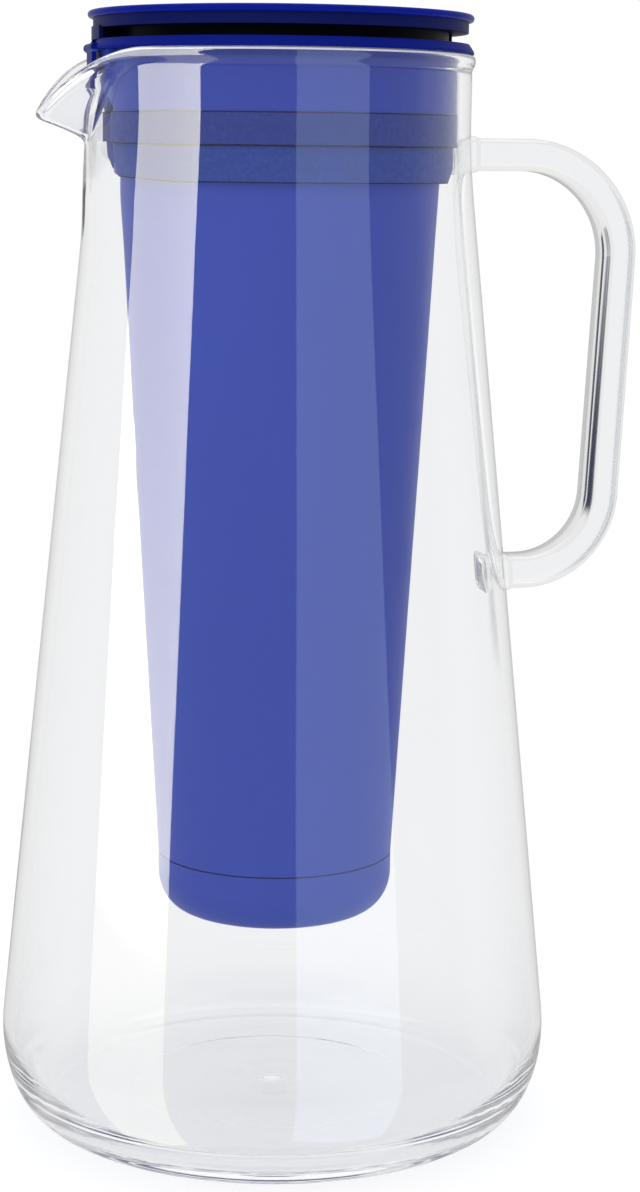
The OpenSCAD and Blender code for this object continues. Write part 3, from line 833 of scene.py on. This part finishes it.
    def rim_painted_highlight(self) -> Piece:
        """Builds a near-white ring along the rim, a painted highlight, which runs out into the spout.

        Returns:
            The edge.
        """
        kept = self.rim[:, self.rim[1] > self.edge_start]
        turn, off, middle, half, top_z = kept[:, np.argsort(np.mod(kept[0] - math.pi, math.tau))]
        taper = ease((off - self.edge_start) / self.edge_run)
        arc = np.radians(np.linspace(*self.edge_arc, 6))
        rings = []
        for skin, angles in zip(self.edge_skins, (arc, arc[::-1])):
            for a in angles:
                b = self.edge_mid + (a - self.edge_mid) * taper
                r = middle + (half + skin * taper) * np.cos(b)
                z = top_z + (self.lip_h + skin * taper) * np.sin(b)
                rings.append(np.stack([r * np.cos(turn), r * np.sin(turn), z], axis=1))
        grid = np.stack(rings, axis=1)
        steps, count = grid.shape[:2]
        faces = flipped(quads(steps, count))
        faces += [tuple(reversed(range(count))), tuple((steps - 1) * count + j for j in range(count))]
        # Painted highlight: the ring's near-white matt colour stands in for the rim's bright highlight.
        tones = {"light": (0.9, 0.92, 0.95), "dark": (0.8, 0.83, 0.88)}
        ground = Grained("rim_highlight_paint", **tones, scale=1500.0, roughness=0.35, bump=0.05)
        return mesh_object("rim_painted_highlight", grid.reshape(-1, 3), faces, ground.make())

    def bar_section(self, grow: float) -> np.ndarray:
        """Section of the handle bar.

        Args:
            grow: How far it stands out beyond the plain bar.

        Returns:
            Points across the thickness and the width.
        """
        t, w = self.bar_t / 2.0 + grow, self.bar_w / 2.0 + grow
        edge = self.bar_edge + grow
        points = []
        for x, y, start in ((1, 1, 0.0), (-1, 1, 90.0), (-1, -1, 180.0), (1, -1, 270.0)):
            for a in np.radians(np.linspace(start, start + 90.0, 9)):
                points.append((x * (t - edge) + edge * math.cos(a), y * (w - edge) + edge * math.sin(a)))
        ring = np.array(points)
        crown = np.sign(ring[:, 0]) * self.bar_crown * (1.0 - (ring[:, 1] / w) ** 2)
        ring[:, 0] += np.where(np.abs(ring[:, 0]) > t - edge,
                               crown - np.sign(ring[:, 0]) * self.bar_crown, 0.0)
        return ring

    def bar_path(self) -> tuple[np.ndarray, np.ndarray, np.ndarray]:
        """Centre line of the handle in its plane.

        Returns:
            Points, directions and distances to the nearer root.
        """
        low_z = self.bar_z - self.bar_span
        top_r, low_r = float(self.outer_r(self.bar_z)), float(self.outer_r(low_z))
        top_c = np.array([self.neck_r + self.run_top, self.bar_z - self.bend_top])
        low_c = np.array([low_r + self.run_low, low_z + self.bend_low])
        far = float(np.linalg.norm(top_c - low_c))
        tilt = math.atan2(low_c[0] - top_c[0], top_c[1] - low_c[1])
        lean = math.asin((self.bend_low - self.bend_top) / far) + tilt

        def bend(center: np.ndarray, radius: float, start: float, end: float, count: int) -> list[np.ndarray]:
            """Points of a bend."""
            return [center + radius * np.array([math.cos(a), math.sin(a)])
                    for a in np.linspace(start, end, count)]

        root = np.array([0.0, 0.35, 0.7, 1.1, 1.6, 2.1, 2.6, 3.1, 3.6, 4.2])
        points = [np.array([top_r + d, self.bar_z]) for d in root]
        points.append(np.array([(top_r + root[-1] + top_c[0]) / 2.0, self.bar_z]))
        points += bend(top_c, self.bend_top, math.pi / 2, lean, 32)
        low = bend(low_c, self.bend_low, lean, -math.pi / 2, 30)
        points += [points[-1] + (low[0] - points[-1]) * s for s in (0.2, 0.4, 0.6, 0.8)]
        points += low + [np.array([low_r + d, low_z]) for d in reversed(root)]
        line = np.array(points)
        way = unit(np.gradient(line, axis=0))
        way[0] = way[1] = (1.0, 0.0)
        way[-1] = way[-2] = (-1.0, 0.0)
        step = np.concatenate([[0.0], np.cumsum(np.linalg.norm(np.diff(line, axis=0), axis=1))])
        return line, way, np.minimum(step, step[-1] - step)

    def handle(self) -> Piece:
        """Builds the bar handle with its welds.

        Returns:
            The handle.
        """
        rings = []
        for (x, z), (dx, dz), d in zip(*self.bar_path()):
            flare = self.weld_flare * max(0.0, 1.0 - d / self.flare_len) ** 2
            section = self.bar_section(self.weld * (1.0 - ease((d - self.weld_len) / self.weld_fade)) + flare)
            rise = ease((z - self.bar_z + self.bar_span) / self.bar_span)
            section[:, 0] *= 1.0 - 2.0 * self.bar_slim / self.bar_t * rise
            ring = np.stack([x - section[:, 0] * dz, section[:, 1], z + section[:, 0] * dx], axis=1)
            if d < self.seat_len:
                skin = np.sqrt(self.outer_r(ring[:, 2]) ** 2 - ring[:, 1] ** 2) - float(self.outer_r(z))
                ring[:, 0] += (skin + self.weld_gap) * (1.0 - ease(d / self.seat_len))
            rings.append(ring)
        verts = np.vstack(rings + [rings[0].mean(axis=0)[None], rings[-1].mean(axis=0)[None]])
        glass = ClearGlass("handle_glass", self.bar_tint, wave_scale=60.0, wave=0.04)
        return mesh_object("handle_bar", verts, flipped(closed(len(rings), len(rings[0]))), glass.make())

    def build(self) -> None:
        """Builds and dresses the jug and its handle."""
        body, edge, bar = self.body(), self.rim_painted_highlight(), self.handle()
        adopt(body, Body.JUG, Slot.CLEAR_GLASS, "glass_body")
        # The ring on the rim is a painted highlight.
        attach(edge, Body.JUG.value)
        adopt(bar, Body.JUG, Slot.HANDLE_GLASS, "glass_handle")
        for piece in (body, edge, bar):
            bpy.data.collections[GLASS_ONLY].objects.link(piece)


@dataclass
class FilterInsert:
    """Reservoir that hangs in the neck, with its collar, seals and spout flap; heights in millimetres."""

    blue: Color = (0.046, 0.089, 0.54)
    # Painted shade: the flange and the spout flap wear a darker copy of the collar's blue.
    flange_painted_shade: Color = (0.003, 0.012, 0.24)
    collar: Color = (0.045, 0.081, 0.5)
    seal: Color = (0.035, 0.062, 0.345)
    low_seal: Color = (0.035, 0.079, 0.412)
    seal_spread: float = 0.12
    steel: Color = (0.62, 0.62, 0.64)
    rim_z: float = 268.9
    # Heights of the painted shadow bands under the seals' lips.
    seal_shadow_heights: tuple[float, ...] = (254.2, 246.5, 237.9)

    def build(self) -> None:
        """Dresses the insert's nodes."""
        dress(Skinned("insert_plastic", self.blue, roughness=0.45, shine=0.12), "reservoir_shell")
        # The flange above rim_z and the spout flap take the darker blue of painted shade; the collar below
        # keeps its lit blue.
        skin = {"color": self.flange_painted_shade, "roughness": 0.35, "peel": 0.03}
        below = {"inside": self.collar, "inside_z": self.rim_z * MM}
        dress(Skinned("collar_plastic", **skin, shine=0.05, **below), "collar_ring")
        dress(Skinned("flap_plastic", **skin, shine=0.08), "spout_flap")
        shadow_bands = tuple(z * MM for z in self.seal_shadow_heights)
        for node, color in (("upper_neck_seal", self.seal), ("lower_neck_seal", self.low_seal)):
            light, dark = (tuple((1.0 + s * self.seal_spread) * c for c in color) for s in (1, -1))
            look = {"scale": 900.0, "roughness": 0.6, "bump": 0.06, "shine": 0.08, "shadow_bands": shadow_bands}
            dress(Grained(node + "_silicone", light, dark, **look), node)
        ground = {"roughness": 0.28, "spread": 0.3, "peel_scale": 2600.0, "peel": 0.1, "peel_depth": 0.0002}
        dress(Skinned("pin_steel", self.steel, metal=1.0, **ground), "flap_pin")


@dataclass
class PlugLid:
    """Plug lid: a glossy disc on a dark plate with a gasket below, with painted shade in the plate's recess;
    sizes in millimetres.
    """

    disc: Color = (0.003, 0.013, 0.29)
    plate: Color = (0.005, 0.01, 0.11)
    # Painted shade: near-black colour in the recess under the disc, inside recess_r and below plate_z.
    recess_painted_shade: Color = (0.002, 0.003, 0.012)
    recess_r: float = 45.5
    plate_z: float = 274.1

    def build(self) -> None:
        """Dresses the lid's nodes."""
        dress(Skinned("lid_gloss", self.disc, roughness=0.22, spread=0.12, peel=0.02, shine=0.06), "lid_top")
        # The plate is near-black inside its recess, as painted shade.
        dark = {"inside": self.recess_painted_shade, "inside_r": self.recess_r * MM, "inside_z": self.plate_z * MM}
        dress(Skinned("lid_plate", self.plate, roughness=0.35, peel=0.03, shine=0.08, **dark), "lid_base")
        tones = {"light": (0.32, 0.34, 0.38), "dark": (0.25, 0.27, 0.31)}
        dress(Grained("lid_silicone", **tones, scale=900.0, roughness=0.5, bump=0.06), "lid_gasket")


@dataclass
class CarbonStage:
    """Turn-off bottom cap with the carbon filter inside; sizes in millimetres."""

    pad_r: float = 23.1
    pad_t: float = 1.5
    low_pad_z: float = 57.0
    high_pad_z: float = 79.7
    ripple: float = 0.06

    def pad(self, name: str, foot: float, material: Material) -> Piece:
        """Builds a felt disc with soft edges and a slightly uneven face.

        Args:
            name: The piece's name.
            foot: Height of its lower face.
            material: The felt.

        Returns:
            The disc.
        """
        turn = np.linspace(0.0, math.tau, 72, endpoint=False)
        edge = self.pad_t / 2.0
        flat = self.pad_r - edge
        radii = np.concatenate([np.linspace(2.0, flat, 9), flat + edge * np.sin(np.linspace(0.3, 1.5, 4))])
        bulge = edge * np.sqrt(np.maximum(0.0, 1.0 - np.maximum(0.0, (radii - flat) / edge) ** 2))
        rows_z = np.concatenate([foot + edge - bulge, foot + edge + bulge[::-1]])
        r = np.repeat(np.concatenate([radii, radii[::-1]])[:, None], len(turn), axis=1)
        z = np.repeat(rows_z[:, None], len(turn), axis=1)
        ripple = self.ripple * np.sin(5.0 * turn + r / 3.0) * np.cos(3.0 * turn - r / 2.0)
        verts, faces = turned(r, z + np.sign(foot + edge - z) * np.abs(ripple), turn)
        return mesh_object(name, verts, faces, material)

    def build(self) -> None:
        """Builds the felt discs and dresses the other nodes."""
        tones = {"light": (0.82, 0.8, 0.72), "dark": (0.6, 0.57, 0.48)}
        felt = Grained("pad_felt", **tones, scale=1400.0, roughness=0.95, bump=0.6, sheen=0.3).make()
        adopt(self.pad("felt_disc_low", self.low_pad_z, felt), Body.FILTER_CAP, Slot.FELT, "felt_pad_lower")
        adopt(self.pad("felt_disc_high", self.high_pad_z, felt), Body.FILTER_CAP, Slot.FELT, "felt_pad_upper")
        dress(Skinned("cap_plastic", FilterInsert().blue, roughness=0.45, shine=0.12), "bottom_cap")
        tones = {"light": (0.03, 0.045, 0.2), "dark": (0.02, 0.03, 0.14)}
        dress(Grained("seam_silicone", **tones, scale=900.0, roughness=0.55, bump=0.08), "cap_gasket")
        case = Skinned("case_plastic", (0.76, 0.78, 0.82), roughness=0.45)
        dress(case, "carbon_case", "carbon_case_lid")
        tones = {"light": (0.035, 0.035, 0.037), "dark": (0.008, 0.008, 0.009)}
        dress(Grained("carbon_grains", **tones, scale=700.0, roughness=0.75, bump=0.9, depth=0.001),
              "carbon_media")


@dataclass
class FibreCartridge:
    """Push-fit filter with looped hollow fibres in a windowed housing; sizes in millimetres."""

    foot_z: float = 108.0
    top_z: float = 159.0
    bundle_r: float = 19.6
    strand_r: float = 0.62
    strand_count: int = 150
    strand_sides: int = 6
    loop_h: float = 3.0
    loop_w: float = 3.4
    loop_turn: float = 0.12
    sway: float = 0.9
    crest_drop: float = 9.0
    crest_step: float = 1.2

    def strand(self, n: int) -> tuple[np.ndarray, float]:
        """Centre line of a fibre that stands on the resin and folds over at the top.

        Args:
            n: Its number, from the middle of the bundle outwards.

        Returns:
            The points, and the angle at which it stands.
        """
        golden = math.pi * (3.0 - math.sqrt(5.0))
        r = (self.bundle_r - self.strand_r) * math.sqrt((n + 0.5) / self.strand_count)
        a, out = golden * n, r / self.bundle_r
        foot = np.array([r * math.cos(a), r * math.sin(a), self.foot_z])
        swing = self.sway * math.sin(2.3 * n)
        crest = (self.top_z - self.strand_r - self.crest_drop * out**2
                 - self.crest_step * (n % 3) - self.loop_h)
        back = a + self.loop_turn
        inner = max(r - self.loop_w, 0.4) * np.array([math.cos(back), math.sin(back)])
        line = []
        for s in np.linspace(0.0, 1.0, 7):
            bend = swing * math.sin(math.pi * s) * (1.0 - out**4)
            line.append(foot + np.array([-bend * math.sin(a), bend * math.cos(a), s * (crest - self.foot_z)]))
        for t in np.linspace(0.0, math.pi, 6)[1:]:
            share = (1.0 - math.cos(t)) / 2.0
            flat = foot[:2] * (1.0 - share) + inner * share
            line.append(np.array([*flat, crest + self.loop_h * math.sin(t)]))
        return np.array(line), a

    def strands(self) -> Piece:
        """Builds the bundle of fibres.

        Returns:
            The bundle.
        """
        verts: list[np.ndarray] = []
        faces: list[Face] = []
        count = self.strand_sides
        sides = np.linspace(0.0, math.tau, count, endpoint=False)
        for n in range(self.strand_count):
            path, a = self.strand(n)
            way = unit(np.gradient(path, axis=0))
            side = unit(np.cross(way, np.array([-math.sin(a), math.cos(a), 0.0])))
            start = len(verts) * count
            for p, u, v in zip(path, side, np.cross(way, side)):
                verts.append(p + self.strand_r * (np.cos(sides)[:, None] * u + np.sin(sides)[:, None] * v))
            end = start + (len(path) - 1) * count
            faces += quads(len(path), count, start)
            faces += [tuple(range(start + count - 1, start - 1, -1)), tuple(range(end, end + count))]
        points = np.vstack(verts)
        over = np.hypot(points[:, 0], points[:, 1])
        points[:, :2] *= np.minimum(1.0, self.bundle_r / np.maximum(over, 1e-6))[:, None]
        points[:, 2] = np.clip(points[:, 2], self.foot_z, self.top_z)
        tones = {"light": (0.86, 0.86, 0.82), "dark": (0.74, 0.74, 0.69)}
        fibre = Grained("fibre_strand", **tones, scale=1100.0, roughness=0.6, bump=0.2)
        return mesh_object("fibre_strands", points, faces, fibre.make())

    def build(self) -> None:
        """Builds the fibres and dresses the other nodes."""
        adopt(self.strands(), Body.CARTRIDGE, Slot.FIBRE, "fibre_bundle")
        housing = Skinned("housing_plastic", (0.74, 0.78, 0.84), roughness=0.42)
        dress(housing, "cartridge_base", "cartridge_housing")
        dress(Skinned("grip_plastic", (0.05, 0.1, 0.42), roughness=0.35), "cartridge_cap")
        dress(WovenMesh("sleeve_mesh"), "inlet_mesh")
        tones = {"light": (0.78, 0.66, 0.42), "dark": (0.7, 0.57, 0.33)}
        dress(Grained("cast_resin", **tones, scale=160.0, roughness=0.25, bump=0.05), "potting_disc")
        tones = {"light": (0.02, 0.02, 0.021), "dark": (0.012, 0.012, 0.013)}
        dress(Grained("ring_rubber", **tones, scale=900.0, roughness=0.5, bump=0.1), "cartridge_o_ring")


@dataclass(frozen=True)
class Softbox:
    """A rectangular lamp that faces the pitcher; angle in degrees, lengths in metres.

    The gain says how much brighter the edge towards the camera is, and the lamp dims to a share of its
    level between two heights. Below the lean height its back and front edges draw in towards the camera or
    back from it, by so much for each metre down.
    """

    name: str
    left: float
    away: float
    size: Span
    center_z: float
    level: float
    use: Use
    color: Color = (1.0, 1.0, 1.0)
    gain: float = 1.0
    dim_span: Span | None = None
    dim_share: float = 1.0
    lean_z: float = 0.42
    lean_foot: float = -0.2
    lean_back: float = 0.0
    lean_front: float = 0.0

    def make(self) -> bpy.types.Light:
        """Builds the lamp's data.

        Returns:
            The lamp's data.
        """
        light = bpy.data.lights.new(self.name, "AREA")
        light.shape = "RECTANGLE"
        width, tall = self.size
        light.size, light.size_y = width, tall
        light.energy = self.level * math.pi * width * tall
        light.color = self.color
        light.use_nodes = True
        tree = Tree(light.node_tree)
        across = tree.parts(tree.add("NewGeometry").outputs["Parametric"])
        strength = tree.remap(across["X"], RISE, (1.0, self.gain))
        foot = self.center_z - tall / 2.0
        lean_span = tuple((z - foot) / tall for z in (self.lean_foot, self.lean_z))
        for lean, side in ((self.lean_back, "GREATER_THAN"), (self.lean_front, "LESS_THAN")):
            if lean:
                drawn = abs(lean) * (self.lean_z - self.lean_foot) / width
                edges = (drawn, 0.0) if lean > 0.0 else (1.0, 1.0 - drawn)
                edge = tree.remap(across["Y"], lean_span, edges)
                strength = tree.times(strength, tree.math(side, across["X"], edge))
        if self.dim_span is not None:
            span = tuple((z - foot) / tall for z in self.dim_span)
            strength = tree.times(strength, tree.ramp(across["Y"], span, (self.dim_share, 1.0)))
        tree.add("OutputLight", {"Surface": tree.glow(WHITE, strength)})
        return light


@dataclass
class Studio:
    """White sweep, soft lamps and the camera; angles in degrees, lengths in metres.

    What glass shows of the surroundings is set apart from their light: white behind the pitcher, dimmer at
    the sides and on the camera's side, and dark at one end of the room, where light goes straight through.
    """

    heading: float = 12.0
    yaw: float = 0.97
    pitch: float = 9.63
    roll: float = 0.65
    distance: float = 0.655
    height: float = 0.245
    lens: float = 78.886
    sensor: float = 36.0
    near_clip: float = 0.01
    plain_light: float = 0.62
    front_reflected: float = 0.1
    back_reflected: float = 0.4
    room_side: Span = (-0.12, 0.1)
    floor_reflected: float = 0.55
    floor_rise: Span = (-0.42, -0.22)
    front_through: Color = (0.7, 0.71, 0.73)
    front_span: Span = (0.0, 0.4)
    side_through: float = 0.8
    side_span: Span = (-0.8, -0.1)
    near_glow: float = 0.68
    near_through: float = 0.6
    glow_fade: Span = (0.12, 0.3)
    through_fade: Span = (0.03, 0.16)
    near_white: float = 0.42
    floor_white: Span = (0.84, 0.88)
    floor_radii: Span = (0.4, 6.0)
    floor_sink: float = -0.00015
    floor_sides: int = 96
    room_dark: Color = (0.03, 0.036, 0.07)
    room_left: float = -149.0
    room_span: Span = (0.9816, 0.9986)
    room_top: Span = (0.06, 0.08)
    sweep_end: Span = (0.66, 0.9)
    bright_edge: float = 1.75
    aim_z: float = 0.16
    light_depth: int = 160
    shine_depth: int = 128

    def toward(self, left: float) -> Vector:
        """Level direction from the jug, turned left from the camera by an angle."""
        turn = math.radians(self.heading + left)
        return Vector((-math.sin(turn), -math.cos(turn), 0.0))

    def seen_through(self, tree: Tree, way: Socket, reach: Socket) -> Socket:
        """Colour of the surroundings as glass shows them.

        Args:
            tree: The node tree.
            way: Direction from the pitcher.
            reach: How far the dark end of the room shows there.

        Returns:
            The colour.
        """
        facing = tree.vector("DOT_PRODUCT", way, self.toward(0.0))["Value"]
        side = tree.gray(tree.ramp(facing, self.side_span, (1.0, self.side_through)))
        pale = tree.tint("MIX", tree.ramp(facing, self.front_span), side, rgba(self.front_through))
        away = tree.vector("DOT_PRODUCT", way, self.toward(self.room_left))["Value"]
        end = tree.ramp(away, self.room_span)
        straight = tree.math("LESS_THAN", tree.add("LightPath").outputs[Ray.MIRRORED.value], 0.5)
        return tree.tint("MIX", tree.times(tree.times(end, straight), reach), pale, rgba(self.room_dark))

    def floor(self) -> None:
        """Builds the white floor, which keeps the pitcher's shadow."""
        sides = self.floor_sides
        around = np.linspace(0.0, math.tau, sides, endpoint=False)
        rim = np.stack([np.cos(around), np.sin(around), np.zeros(sides)], axis=1)
        verts = np.vstack([rim * far for far in self.floor_radii]) + np.array([0.0, 0.0, self.floor_sink])
        faces = [tuple(range(sides))]
        faces += [(j, sides + j, sides + (j + 1) % sides, (j + 1) % sides) for j in range(sides)]
        material, tree = new_material("floor_white")
        where = tree.spot()
        tone = tree.gray(tree.remap(tree.noise(where, 3.0), RISE, self.floor_white))
        surface = tree.add("BsdfDiffuse", {"Color": tone}).outputs[0]
        soft = tree.add("BsdfDiffuse", {"Color": rgba((self.near_white,) * 3)}).outputs[0]
        path = tree.add("LightPath").outputs
        away = tree.vector("LENGTH", where)["Value"]
        way = tree.vector("NORMALIZE", where)["Vector"]

        def seen(close: float, beyond: object, fade: Span) -> Socket:
            """The floor with a glow near the pitcher that fades to a colour between two distances."""
            near = tree.add("AddShader", {0: soft, 1: tree.glow(WHITE, close)}).outputs[0]
            return tree.blend(tree.ramp(away, fade), near, tree.glow(beyond))

        beyond = self.seen_through(tree, way, tree.ramp(away, self.sweep_end))
        through = seen(self.near_through, beyond, self.through_fade)
        plain = seen(self.near_glow, WHITE, self.glow_fade)
        for ray, shown in ((Ray.TRANSMITTED, through), (Ray.CAMERA, plain)):
            surface = tree.blend(path[ray.value], surface, shown)
        tree.add("OutputMaterial", {"Surface": surface})
        plane = mesh_object("studio_floor", verts / MM, faces, material)
        plane.visible_glossy = False

    def surround(self) -> None:
        """Sets the world: white behind, a dim room on the camera's side for reflections."""
        world = bpy.data.worlds.new("studio")
        bpy.context.scene.world = world
        world.use_nodes = True
        tree = Tree(world.node_tree)
        way = tree.add("TexCoord").outputs["Generated"]
        height = tree.parts(way)["Z"]
        path = tree.add("LightPath").outputs

        def sky(color: Socket, strength: float = 1.0) -> Socket:
            """A background of this colour."""
            return tree.add("Background", {"Color": color, "Strength": strength}).outputs[0]

        facing = tree.vector("DOT_PRODUCT", way, self.toward(0.0))["Value"]
        room = tree.ramp(facing, self.room_side, (self.back_reflected, self.front_reflected))
        below = tree.ramp(height, self.floor_rise, FALL)
        lifted = tree.times(below, tree.math("SUBTRACT", self.floor_reflected, room))
        reflected = sky(tree.gray(tree.math("ADD", room, lifted)))
        through = sky(self.seen_through(tree, way, tree.ramp(height, self.room_top, FALL)))
        mirror = tree.math("SUBTRACT", 1.0, path[Ray.DIFFUSE.value])
        mirror = tree.times(path[Ray.REFLECTED.value], mirror)
        shader = sky(tree.gray(1.0), self.plain_light)
        shader = tree.blend(mirror, shader, reflected)
        shader = tree.blend(path[Ray.TRANSMITTED.value], shader, through)
        shader = tree.blend(path[Ray.CAMERA.value], shader, sky(tree.gray(1.0)))
        tree.add("OutputWorld", {"Surface": shader})

    def lamp(self, box: Softbox) -> None:
        """Adds a softbox that faces the pitcher.

        Args:
            box: The softbox.
        """
        lamp = bpy.data.objects.new(box.name, box.make())
        bpy.context.scene.collection.objects.link(lamp)
        place = self.toward(box.left) * box.away
        lamp.location = (place.x, place.y, box.center_z)
        aim_z = box.center_z if box.use is Use.GLINT else self.aim_z
        aim = Vector((0.0, 0.0, aim_z)) - lamp.location
        lamp.rotation_euler = aim.to_track_quat("-Z", "Y").to_euler()
        lamp.visible_camera = False
        lamp.visible_diffuse = box.use is not Use.GLINT
        lamp.visible_glossy = box.use is not Use.FILL
        lamp.visible_transmission = box.use is Use.BOTH
        if box.use is Use.GLINT:
            lamp.light_linking.receiver_collection = bpy.data.collections[GLASS_ONLY]

    def lamps(self) -> None:
        """Adds the softboxes."""
        warm, cool = (1.0, 0.965, 0.76), (0.64, 0.77, 1.0)
        shaped = {"gain": self.bright_edge, "dim_span": (-0.075, 0.01), "dim_share": 0.2}
        shaped |= {"lean_back": 0.46, "lean_front": -0.16}
        self.lamp(Softbox("left_softbox", 68.0, 1.0, (0.923, 3.0), 0.25, 8.4, Use.GLINT, warm, **shaped))
        self.lamp(Softbox("right_panel", -31.0, 1.25, (1.0, 3.0), 0.25, 2.1, Use.GLINT, cool))
        self.lamp(Softbox("front_panel", 25.0, 1.4, (1.2, 1.2), 1.0, 1.2, Use.FILL))
        self.lamp(Softbox("top_panel", 175.0, 0.3, (1.3, 1.3), 1.5, 1.3, Use.BOTH))

    def camera(self) -> None:
        """Places the camera as the photograph was taken."""
        data = bpy.data.cameras.new("camera")
        data.sensor_fit = "VERTICAL"
        data.sensor_height = self.sensor
        data.lens = self.lens
        data.clip_start = self.near_clip
        camera = bpy.data.objects.new("camera", data)
        bpy.context.scene.collection.objects.link(camera)
        turn, down = math.radians(self.heading + self.yaw), math.radians(self.pitch)
        ahead = Vector((math.sin(turn) * math.cos(down), math.cos(turn) * math.cos(down), -math.sin(down)))
        right = ahead.cross(Vector((0.0, 0.0, 1.0))).normalized()
        up = right.cross(ahead)
        c, s = math.cos(math.radians(self.roll)), math.sin(math.radians(self.roll))
        right, up = right * c + up * s, up * c - right * s
        place = self.toward(0.0) * self.distance + Vector((0.0, 0.0, self.height))
        camera.matrix_world = Matrix.Translation(place) @ Matrix((right, up, -ahead)).transposed().to_4x4()
        bpy.context.scene.camera = camera

    def build(self) -> None:
        """Sets up the whole studio."""
        bpy.data.collections.new(GLASS_ONLY)
        self.camera()
        self.floor()
        self.surround()
        self.lamps()
        scene = bpy.context.scene
        scene.view_settings.view_transform = "Standard"
        scene.cycles.max_bounces = scene.cycles.transmission_bounces = self.light_depth
        scene.cycles.glossy_bounces = self.shine_depth


def main() -> None:
    """Builds the studio and the pitcher in order."""
    logging.basicConfig(level=logging.INFO, format="%(name)s: %(message)s")
    for part in (Studio(), GlassJug(), FilterInsert(), PlugLid(), CarbonStage(), FibreCartridge()):
        log.info("building the %s", type(part).__name__)
        part.build()


if __name__ == "__main__":
    main()
